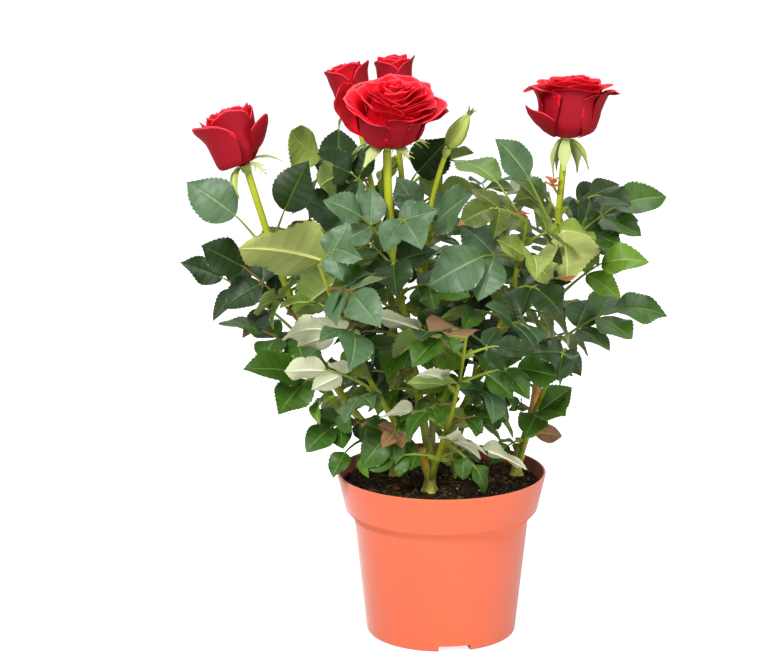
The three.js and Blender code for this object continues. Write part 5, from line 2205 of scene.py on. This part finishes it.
@dataclass
class Flowers:
    """The five red blooms, the closed bud, and the calyx under each."""

    calyx: Calyx = field(default_factory=Calyx)
    bud_lean: Triple = (0.2, 0.0, 0.0)
    bud_girth: float = 0.82
    seed: int = 10  # of the field that ruffles the petals

    def petals(self, flower: Flower) -> list[tuple[Patch, Array]]:
        """Makes a bloom's petals on the Z axis, from its heart outwards.

        Args:
            flower: Which bloom.

        Returns:
            Each petal's body and its faces' finishes.
        """
        form, size = BLOOM_FORMS[flower], FLOWERS[flower]
        order = list(Flower).index(flower)
        dice = Dice(Seed.BLOOMS + order)
        scale = np.array((size.width / 2, size.height * form.tall))
        cup = np.array(form.cup) * scale
        heart = HEART_PETAL * (size.width / 2 * form.heart, size.height * form.tall)
        made = []
        for k in range(form.petals):
            t = k / (form.petals - 1)
            turn = k * GOLDEN_TURN + dice.between(-0.25, 0.25)
            front = max(0.0, -math.sin(turn)) ** 2 * form.shy * t
            line = np.stack((
                lerp(heart[:, 0], cup[:, 0], t**form.spread), lerp(heart[:, 1], cup[:, 1], t**form.dome),
            ), 1)
            line[:, 0] *= 1 + lerp(0.05, 0.015, t) * form.wild * dice.between(-1, 1) - front * FRONT_DROP
            line[:, 1] *= 1 + lerp(0.045, 0.012, t) * form.wild * dice.between(-1, 1)
            line[4] += 1.5 * form.wild * t * (1 - 0.7 * t) * dice.between(-1, 1)
            petal = Petal(
                turn=turn,
                half_angle=math.radians(lerp(*form.wrap, t**0.6)) * dice.between(0.88, 1.08),
                line=line,
                tuck=lerp(0.22, form.tuck, t),
                ripple=lerp(0.3, 0.7, t) * form.wild,
                phase=dice.between(0, 2 * math.pi),
                roll=lerp(0.2, form.curl, t) * dice.between(0.5, 1.2),
                shoulder=form.shoulder,
            )
            made.append((petal.build(), petal.skins(guard=t > OUTERMOST)))
        for degrees, half, roll, line in form.extra:
            petal = Petal(
                turn=math.radians(degrees), half_angle=math.radians(half), line=np.array(line) * scale,
                tuck=0.04, ripple=0.8, phase=1.0, roll=roll, shoulder=0.2, point=0.02,
            )
            made.append((petal.build(), petal.skins(guard=True)))
        return [(self.ruffled(patch, order, size.height, form), skins) for patch, skins in made]

    def ruffled(self, patch: Patch, seed: int, height: float, form: BloomForm) -> Patch:
        """Bends a petal out of its even ring by one smooth field for the bloom, more towards its rim.

        Args:
            patch: A petal.
            seed: The bloom's number.
            height: The bloom's height.
            form: The bloom's form, which says how strongly to bend.

        Returns:
            The bent petal.
        """
        points = patch.points.copy()
        for point in points:
            rise = min(max(point[2] / height, 0.0), 1.0)
            share = rise**0.7 * form.wild
            wide = noise.noise_vector(Vector(point * 0.062) + Vector((seed * 9.0, 0, 0)))
            fine = noise.noise_vector(Vector(point * 0.17) + Vector((0, seed * 9.0, 0)))
            point += share * (2.6 * np.array(wide) + 0.9 * np.array(fine)) * (1, 1, 0.7)
            point[0] += form.sway * rise
        return Patch(points, patch.faces)

    def bud(self) -> list[tuple[Patch, int]]:
        """Makes the closed bud on the Z axis: its ribbed body and the sepals that wrap it.

        Returns:
            The parts of the bud, with their finishes.
        """
        size = FLOWERS[Flower.BUD]
        heights = np.linspace(0, 1, 22)
        places, widths = (0, 0.06, 0.22, 0.42, 0.68, 0.88, 1), (0.2, 0.6, 0.95, 1, 0.72, 0.34, 0.05)
        girth = np.interp(heights, places, widths) * self.bud_girth
        profile = np.stack((size.width / 2 * 0.93 * girth, size.height * 0.97 * heights), 1)
        outline = np.concatenate(([(0, 0)], profile, [(0, size.height * 0.97)]))
        made = [(lathe(outline, 30), BudPart.PALE)]
        for k in range(5):
            angle = k * 2 * math.pi / 5
            across = np.linspace(1, -1, 7)
            half = 0.62 * np.sqrt(np.clip(1 - heights**1.6, 0.012, 1))
            angles = angle + half[:, None] * across + 0.35 * heights[:, None]
            out = size.width / 2 * np.maximum(girth, 0.1)[:, None] * (1.0 + 0.05 * (1 - across**2))
            upper = np.stack((
                out * np.cos(angles), out * np.sin(angles),
                size.height * heights[:, None] * np.ones(7) * (1.0 + 0.03 * k / 5),
            ), 2)
            inner = upper * np.array((0.9, 0.9, 1.0))
            made.append((shell(upper, inner)[0], BudPart.DEEP if k % 2 else BudPart.PALE))
            crest = around(angle) * 0.8 + UP * size.height * 0.94
            reach = steps(7)
            wisp = crest + UP * 4.5 * reach + around(angle) * 2.2 * reach**2
            made.append((sweep(wisp, np.linspace(0.9, 0.2, 7), 6), BudPart.TIP))
        return made

    def dress_calyx(self, calyces: Joiner, shoot: Shoot, turn: Array, dice: Dice) -> None:
        """Adds the swollen top of a flower's stalk and its sepals.

        Args:
            calyces: The piece that they join.
            shoot: The shoot that bears the flower.
            turn: The turn that takes +Z to the flower's axis.
            dice: Where the sepals' numbers come from.
        """
        tip = shoot.at(1)
        small = 0.75 if shoot.flower is Flower.BUD else 1.0
        calyces.add(self.calyx.swelling(small).moved(turn, tip), CalyxPart.GREEN)
        form = SEPAL_FORMS.get(shoot.flower)
        for k in range(self.calyx.sepals if form else 0):
            angle = math.radians(360 * k / self.calyx.sepals + form.turn)
            droop = dice.between(*form.droop)
            skin = CalyxPart.PALE if dice.roll() < form.pale else CalyxPart.GREEN
            leafy = form.leafy and k % 2 == 0
            scale = dice.between(0.85, 1.1)
            for patch, skins in self.calyx.sepal(form, angle, droop, scale, leafy, skin):
                calyces.add(patch.moved(turn, tip), skins)

    def build(self) -> list[Thing]:
        """Makes each bloom, the bud and the calyces.

        Returns:
            The pieces.
        """
        noise.seed_set(self.seed)
        velvet = {"sheen_tint": colour(255, 60, 70), "specular": 0.14}
        # the lip's paler red is a painted highlight along each rim, and the guard's deeper red is painted
        # shade on the outermost backs
        reds = dress(
            Finish("petal_inner", colour(250, 12, 38), 0.6, sheen=0.1, **velvet),
            Finish("petal_outer", colour(190, 8, 28), 0.6, sheen=0.12, **velvet),
            Finish("petal_lip", colour(246, 66, 80), 0.5, sheen=0.12, **velvet),
            Finish("petal_guard", colour(150, 12, 30), 0.6, sheen=0.24, **velvet),
        )
        greens = dress(
            Finish("calyx_green", colour(166, 182, 76), 0.45, coat=0.1),
            Finish("sepal_pale", colour(180, 194, 120), 0.6),
            Finish("sepal_dark", colour(84, 108, 52), 0.6),
        )
        bud_finishes = dress(
            Finish("bud_pale", colour(184, 196, 88), 0.5, coat=0.1),
            Finish("bud_deep", colour(152, 168, 64), 0.5, coat=0.1),
            Finish("bud_tip", colour(98, 110, 46), 0.6),
        )
        calyces = Joiner("calyces", greens)
        made = []
        for order, shoot in enumerate(shoot for shoot in SHOOTS if shoot.flower):
            flower, axis = shoot.flower, vec(*FLOWERS[shoot.flower].axis)
            turn = turn_to(axis)
            self.dress_calyx(calyces, shoot, turn, Dice(Seed.SEPALS + order))
            lifted = shoot.at(1) + turn @ (UP * (self.calyx.height + GAP))
            if flower is Flower.BUD:
                piece, slot, parts, lean = Joiner("bud", bud_finishes), Slot.BUD, self.bud(), self.bud_lean
            else:
                piece, slot = Joiner(f"petals_{flower.value}", reds), Slot.PETAL
                parts, lean = self.petals(flower), BLOOM_FORMS[flower].lean
            petal_turn = turn_to(axis + vec(*lean))
            for patch, skins in parts:
                piece.add(patch.moved(petal_turn, lifted), skins)
            made.append(finish_piece(piece, [flower.value]))
        return [*made, finish_piece(calyces, FLOWER_STEMS)]


# ------------------------------------------------------------------ the pot and its mix


class PotPart(IntEnum):
    """The finishes of the pot: its outside, its darker inside, and the ledge under its band, painted lighter
    to stand for light on faces that turn down into shade.
    """

    OUTSIDE = 0
    INSIDE = 1
    LEDGE = 2


@dataclass
class Pot:
    """The moulded nursery pot with its band, lip, drain channels and holes. Sizes are in millimetres."""

    size: PotSize = POT
    sides: int = 224
    base_edge: float = 2.6
    edge_steps: int = 6
    lip: float = 0.8
    channels: int = 3
    channel_width: float = 20.0
    channel_height: float = 4.0
    channel_from: float = 14.0
    first_angle: float = -79.0
    skin: float = 1.4
    hole: float = 3.2
    hole_at: float = 34.0
    painted_light_slope: float = -0.3  # faces that look further down than this are ledges, whose lighter colour is painted light
    overrun: float = 8.0

    def rounded(self, corner: Array, before: Array, after: Array, radius: float) -> Array:
        """Returns an arc of points that rounds a corner of the outline.

        Args:
            corner: The corner.
            before: The point before it.
            after: The point after it.
            radius: How far from the corner the rounding starts.

        Returns:
            The arc's points.
        """
        start = corner + unit(before - corner) * radius
        end = corner + unit(after - corner) * radius
        return arc(start, corner, end, steps(self.edge_steps))

    def outline(self, corners: list[Triple]) -> Array:
        """Rounds an outline's corners.

        Args:
            corners: The radius and height of each corner, and how far it is rounded, 0 leaving it sharp.

        Returns:
            The outline as rows of radius and height.
        """
        points = np.array([(r, z) for r, z, _ in corners], float)
        made = [points[:1]]
        for k in range(1, len(corners) - 1):
            radius = corners[k][2]
            if radius:
                made.append(self.rounded(points[k], points[k - 1], points[k + 1], radius))
            else:
                made.append(points[k:k + 1])
        return np.concatenate((*made, points[-1:]))

    def solid(self, name: str, patch: Patch) -> Thing:
        """Returns a patch as a plain object, for cutting and joining."""
        joiner = Joiner(name, [])
        joiner.add(patch)
        return joiner.build()

    def bar(
        self, name: str, angle: float, start: float, width: float, low: float, high: float, corner: float
    ) -> Thing:
        """Makes a bar that runs outwards under the floor, its upper edges rounded.

        Args:
            name: The bar's name.
            angle: Its direction round the pot.
            start: How far from the middle it starts.
            width: How wide it is.
            low: The height of its underside.
            high: The height of its top.
            corner: The radius of its upper edges.

        Returns:
            The bar as an object.
        """
        end = self.size.base_radius + self.overrun
        t = np.linspace(0, math.pi / 2, self.edge_steps)
        half = width / 2
        right = np.stack((half - corner + corner * np.cos(t), high - corner + corner * np.sin(t)), 1)
        left = right[::-1] * (-1, 1)
        section = np.concatenate(([(-half, low), (half, low)], right, left))
        out = around(angle)
        aside = np.cross(UP, out)
        ends = [out * reach + aside * section[:, :1] + UP * section[:, 1:] for reach in (start, end)]
        middles = [out * reach + UP * (low + high) / 2 for reach in (start, end)]
        points = np.concatenate((*ends, middles))
        return self.solid(name, Patch(points, closed_faces(2, len(section))))

    def combine(self, body: Thing, other: Thing, how: str) -> None:
        """Cuts, joins or crosses one object with another.

        Args:
            body: The object that changes.
            other: The other one, which is used up.
            how: DIFFERENCE, UNION or INTERSECT.
        """
        step = body.modifiers.new("step", "BOOLEAN")
        step.object, step.operation, step.solver = other, how, "EXACT"
        graph = bpy.context.evaluated_depsgraph_get()
        mesh = bpy.data.meshes.new_from_object(body.evaluated_get(graph))
        body.modifiers.clear()
        body.data = mesh
        bpy.data.objects.remove(other)

    def moulded(self) -> Thing:
        """Makes the turned wall and floor, and cuts and joins the channels and holes under them.

        Returns:
            The pot without its finishes.
        """
        size, wall, lip = self.size, self.size.wall, self.lip
        outer = self.outline([
            (0, 0, 0), (size.base_radius, 0, self.base_edge), (size.shoulder_radius, size.shoulder, 1.6),
            (size.band_radius, size.band_foot, 1.0), (size.rim_radius, size.height, lip),
            (size.rim_radius - wall * 1.15, size.height, lip * 0.7),
            (size.band_radius - wall + 0.4, size.band_foot, 2),
            (size.shoulder_radius - wall, size.shoulder, 2),
            (size.radius_at(size.floor) - wall, size.floor, 1.5), (0, size.floor, 0),
        ])
        pot = self.solid("moulded_pot", lathe(outer, self.sides))
        full = self.outline([
            (0, 0, 0), (size.base_radius - 0.4, 0, self.base_edge),
            (size.shoulder_radius - 0.6, size.shoulder, 0), (0, size.shoulder, 0),
        ])
        angles = [math.radians(self.first_angle + 360 * k / self.channels) for k in range(self.channels)]
        start, width, height, skin = self.channel_from, self.channel_width, self.channel_height, self.skin
        for k, angle in enumerate(angles):
            roof = self.bar(
                f"roof_{k}", angle, start - skin, width + 2 * skin, size.floor / 2, height + skin, 1.8
            )
            self.combine(roof, self.solid(f"core_{k}", lathe(full, self.sides)), "INTERSECT")
            self.combine(pot, roof, "UNION")
        for k, angle in enumerate(angles):
            channel = self.bar(f"channel_{k}", angle, start, width, -self.overrun, height, 0.9)
            self.combine(pot, channel, "DIFFERENCE")
            out, rise = around(angle) * self.hole_at, UP * self.overrun
            drain = sweep(np.array((out - rise, out + rise)), np.array((self.hole, self.hole)), 32)
            self.combine(pot, self.solid(f"drain_{k}", drain), "DIFFERENCE")
        return pot

    def build(self) -> Thing:
        """Makes the pot and gives each face its finish.

        Returns:
            The piece.
        """
        pot = self.moulded()
        plastic = WornFinish(
            "pot_plastic", colour(237, 108, 71), 0.4, sheen=0.8, specular=0.3, second=colour(242, 115, 78),
            patch=22, spread=0.35, grain=1600, smoother=0.34, rougher=0.44, relief=0.05, relief_depth=0.0001,
        )
        # the inside is a darker brown-orange than the outside
        darker_inside = WornFinish(
            "pot_inside", colour(120, 52, 34), 0.6, second=colour(196, 92, 62), patch=90, grain=1600,
            smoother=0.5, rougher=0.75, relief=0.05, relief_depth=0.0001,
        )
        # the ledge is a lighter copy of the plastic without sheen: painted light on downturned faces that lie
        # in shade
        ledge = replace(
            plastic, name="pot_ledge", base=colour(247, 124, 87), second=colour(250, 130, 93), sheen=0.0,
            specular=0.05,
        )
        pot.data.materials.clear()
        for material in dress(plastic, darker_inside, ledge):
            pot.data.materials.append(material)
        for face in pot.data.polygons:
            raised = face.center.z > self.size.floor * MM
            inward = face.normal.to_2d().dot(face.center.to_2d()) < 0
            part = PotPart.INSIDE if inward else PotPart.OUTSIDE
            if face.normal.z < self.painted_light_slope:
                part = PotPart.LEDGE
            face.material_index = part if raised else PotPart.OUTSIDE
        pot.data.set_sharp_from_angle(angle=SHARP)
        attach(pot, "root")
        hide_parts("pot")
        log.info("moulded_pot: %d faces", len(pot.data.polygons))
        return pot


class MixPart(IntEnum):
    """The finishes of the mix."""

    PEAT = 0
    DARK_CRUMB = 1
    BROWN_CRUMB = 2
    FIBRE = 3
    GRAIN = 4


@dataclass
class Mix:
    """The dark potting mix: a heaved surface with crumbs, fibres and a few light grains on it."""

    size: PotSize = POT
    foot: float = 5.7
    crest: float = 97.0
    rim: float = 94.2
    clear: float = 0.45
    rings: int = 95
    sectors: int = 200
    crumbs: int = 850
    fibres: int = 70
    grains: int = 60
    bare_edge: float = 2.5
    brown: float = 0.4  # the share of crumbs that are brown
    straw: float = 0.6  # the share of fibres that are straw

    def height_at(self, x: float, y: float) -> float:
        """Finds the height of the mix at a place.

        Args:
            x: How far the place is along X.
            y: How far it is along Y.

        Returns:
            The height.
        """
        share = math.hypot(x, y) / self.size.rim_radius
        spot = Vector((x * 0.09, y * 0.09, 3.0))
        fine = Vector((x * 0.42, y * 0.42, 7.0))
        return (
            lerp(self.crest, self.rim, share**2)
            + 1.1 * noise.fractal(spot, 0.9, 2.0, 3) + 0.9 * noise.fractal(fine, 0.6, 2.2, 4)
        )

    def surface(self) -> Patch:
        """Makes the body of mix, with its uneven top.

        Returns:
            The body as a patch.
        """
        edge = self.size.inside_at(self.rim, self.clear)
        radii = np.linspace(edge / self.rings, edge, self.rings)
        angles = np.arange(self.sectors) * 2 * math.pi / self.sectors
        flat = [(radius * math.cos(angle), radius * math.sin(angle)) for radius in radii for angle in angles]
        top = [(x, y, self.height_at(x, y)) for x, y in flat]
        walls = []
        for z in (self.size.band_foot, self.size.shoulder, self.foot):
            radius = self.size.inside_at(z, self.clear)
            walls += [(radius * math.cos(angle), radius * math.sin(angle), z) for angle in angles]
        points = np.array([*top, *walls, (0, 0, self.height_at(0, 0)), (0, 0, self.foot)])
        return Patch(points, closed_faces(self.rings + 3, self.sectors, turned=True))

    def lump(self, at: Array, radius: float, dice: Dice) -> Patch:
        """Makes one crumb or grain.

        Args:
            at: Its middle.
            radius: Its rough radius.
            dice: Where its numbers come from.

        Returns:
            The lump as a patch.
        """
        rows, sides = 3, 6
        heights = np.cos(np.linspace(math.pi, 0, rows + 2))
        profile = np.stack((np.sin(np.arccos(heights)), heights), 1)
        ball = lathe(profile, sides)
        bumps = np.array([1 + dice.between(-0.28, 0.28) for _ in range(len(ball.points))])[:, None]
        scale = radius * np.array((dice.between(0.7, 1.3), dice.between(0.7, 1.3), dice.between(0.5, 0.9)))
        return Patch(ball.points * bumps * scale + at, ball.faces)

    def build(self) -> Thing:
        """Makes the mix.

        Returns:
            The piece.
        """
        peat = WornFinish(
            "peat", colour(20, 15, 6), 0.9, specular=0.15, second=colour(72, 56, 28), patch=420, spread=0.12,
            grain=3200, smoother=0.75, rougher=0.95, relief=0.9, relief_depth=0.0012,
        )
        finishes = dress(
            peat,
            Finish("crumb_dark", colour(32, 26, 11), 0.9, specular=0.15),
            Finish("crumb_brown", colour(106, 80, 44), 0.9, specular=0.15),
            Finish("fibre_straw", colour(108, 88, 52), 0.8),
            Finish("grain_light", colour(196, 188, 172), 0.7),
        )
        mix = Joiner("peat_mix", finishes)
        mix.add(self.surface(), MixPart.PEAT)
        dice = Dice(Seed.MIX)
        edge = self.size.inside_at(self.rim, self.bare_edge)
        for k in range(self.crumbs + self.grains):
            reach, turn = edge * math.sqrt(dice.roll()), dice.between(0, 2 * math.pi)
            x, y = reach * math.cos(turn), reach * math.sin(turn)
            light = k >= self.crumbs
            radius = dice.between(0.25, 0.7) if light else 0.35 + 1.5 * dice.roll() ** 2.5
            at = vec(x, y, self.height_at(x, y) + radius * 0.25)
            lump = self.lump(at, radius, dice)
            crumb = MixPart.GRAIN if light else MixPart.DARK_CRUMB
            if not light and dice.roll() < self.brown:
                crumb = MixPart.BROWN_CRUMB
            mix.add(lump, crumb)
        for _ in range(self.fibres):
            reach, turn = (edge - 4) * math.sqrt(dice.roll()), dice.between(0, 2 * math.pi)
            heading = dice.between(0, 2 * math.pi)
            curve = dice.between(-0.25, 0.25)
            length = dice.between(2.5, 11)
            spine = []
            x, y = reach * math.cos(turn), reach * math.sin(turn)
            for step in range(8):
                inside = min(1.0, edge / max(math.hypot(x, y), 1e-6))
                x, y = x * inside, y * inside
                hump = 0.9 * math.sin(math.pi * step / 7)
                spine.append((x, y, self.height_at(x, y) + 0.3 + hump))
                x += math.cos(heading) * length / 7
                y += math.sin(heading) * length / 7
                heading += curve
            skin = MixPart.FIBRE if dice.roll() < self.straw else MixPart.BROWN_CRUMB
            mix.add(sweep(np.array(spine), np.linspace(0.22, 0.1, 8), 5), skin)
        return finish_piece(mix, ["potting_mix"])


# ------------------------------------------------------------------ studio


@dataclass(frozen=True)
class Softbox:
    """One soft area light, in metres and watts."""

    name: str
    at: Triple
    aim: Triple
    size: float
    power: float


@dataclass
class Studio:
    """The pale floor, the soft lights and the camera. Sizes are in metres."""

    camera_at: Triple = (0.0, -1.7294, 0.60217)
    pitch: float = 13.4
    yaw: float = 1.0857
    lens: float = 134.19
    floor: float = 12.0
    glow: float = 0.8  # how much light the floor gives to the camera alone
    sky: float = 0.28
    sky_seen: float = 1.15  # the surround's strength in reflections
    sky_colour: Colour = (0.96, 0.98, 1.0, 1.0)
    paper: Colour = (0.62, 0.62, 0.62, 1.0)
    sensor: float = 36.0
    boxes: tuple[Softbox, ...] = (
        Softbox("key", (-0.75, -1.5, 1.5), (0, 0, 0.2), 0.7, 44.0),
        Softbox("fill", (1.2, -1.3, 0.6), (0, 0, 0.2), 0.9, 14.0),
        Softbox("top", (0.1, 0.5, 1.6), (0, 0, 0.25), 1.0, 15.0),
    )

    def aim(self, thing: Thing, target: Vector) -> None:
        """Turns a light so that it looks at a point."""
        thing.rotation_euler = (target - thing.location).to_track_quat("-Z", "Y").to_euler()

    def light(self) -> None:
        """Places the softboxes and the white surround."""
        for box in self.boxes:
            lamp = bpy.data.lights.new(box.name, "AREA")
            lamp.size, lamp.energy = box.size, box.power
            holder = bpy.data.objects.new(box.name, lamp)
            bpy.context.scene.collection.objects.link(holder)
            holder.location = box.at
            self.aim(holder, Vector(box.aim))
        world = bpy.data.worlds.new("surround")
        world.use_nodes = True
        graph = Graph(world.node_tree)
        lit, end = world.node_tree.nodes["Background"], world.node_tree.nodes["World Output"]
        fill(lit, {"Color": self.sky_colour})
        seen = graph.node("Background", {"Color": WHITE})
        path = graph.node("LightPath")
        mix = graph.node("MixShader")
        strength = graph.node("MapRange", {"To Min": self.sky, "To Max": self.sky_seen})
        graph.wire(
            (path, "Is Glossy Ray", strength, "Value"), (strength, 0, lit, "Strength"),
            (path, "Is Camera Ray", mix, "Fac"), (lit, 0, mix, 1), (seen, 0, mix, 2),
            (mix, 0, end, "Surface"),
        )
        bpy.context.scene.world = world
        bpy.context.scene.view_settings.view_transform = "Standard"

    def lay_floor(self) -> None:
        """Lays the pale floor that the pot stands on."""
        joiner = Joiner("studio_floor", [])
        corners = np.array(((-1, -1, 0), (1, -1, 0), (1, 1, 0), (-1, 1, 0))) * (self.floor / 2 / MM)
        joiner.add(Patch(corners, np.array([(0, 1, 2, 3)])))
        floor = joiner.build()
        paper, graph, shader = Finish("studio_paper", self.paper, 0.9, specular=0.1).start()
        fill(shader, {"Emission Color": WHITE})
        path = graph.node("LightPath")
        glow = graph.node("Math", {1: self.glow}, operation="MULTIPLY")
        graph.wire((path, "Is Camera Ray", glow, 0), (glow, 0, shader, "Emission Strength"))
        floor.data.materials.append(paper)

    def place_camera(self) -> None:
        """Sets up the camera at the viewing angle."""
        lens = bpy.data.cameras.new("camera")
        lens.lens, lens.sensor_width = self.lens, self.sensor
        camera = bpy.data.objects.new("camera", lens)
        bpy.context.scene.collection.objects.link(camera)
        camera.location = self.camera_at
        camera.rotation_euler = (math.radians(90 - self.pitch), 0.0, math.radians(self.yaw))
        bpy.context.scene.camera = camera


def main() -> None:
    """Builds the studio and every piece of the plant and its pot."""
    logging.basicConfig(level=logging.INFO, format="%(message)s")
    studio = Studio()
    studio.place_camera()
    studio.light()
    studio.lay_floor()
    make_mottle()
    make_grain()
    make_furrow()
    Pot().build()
    Mix().build()
    foliage = Foliage()
    Limbs(foliage.leaves).build()
    Flowers().build()
    foliage.build()


if __name__ == "__main__":
    main()
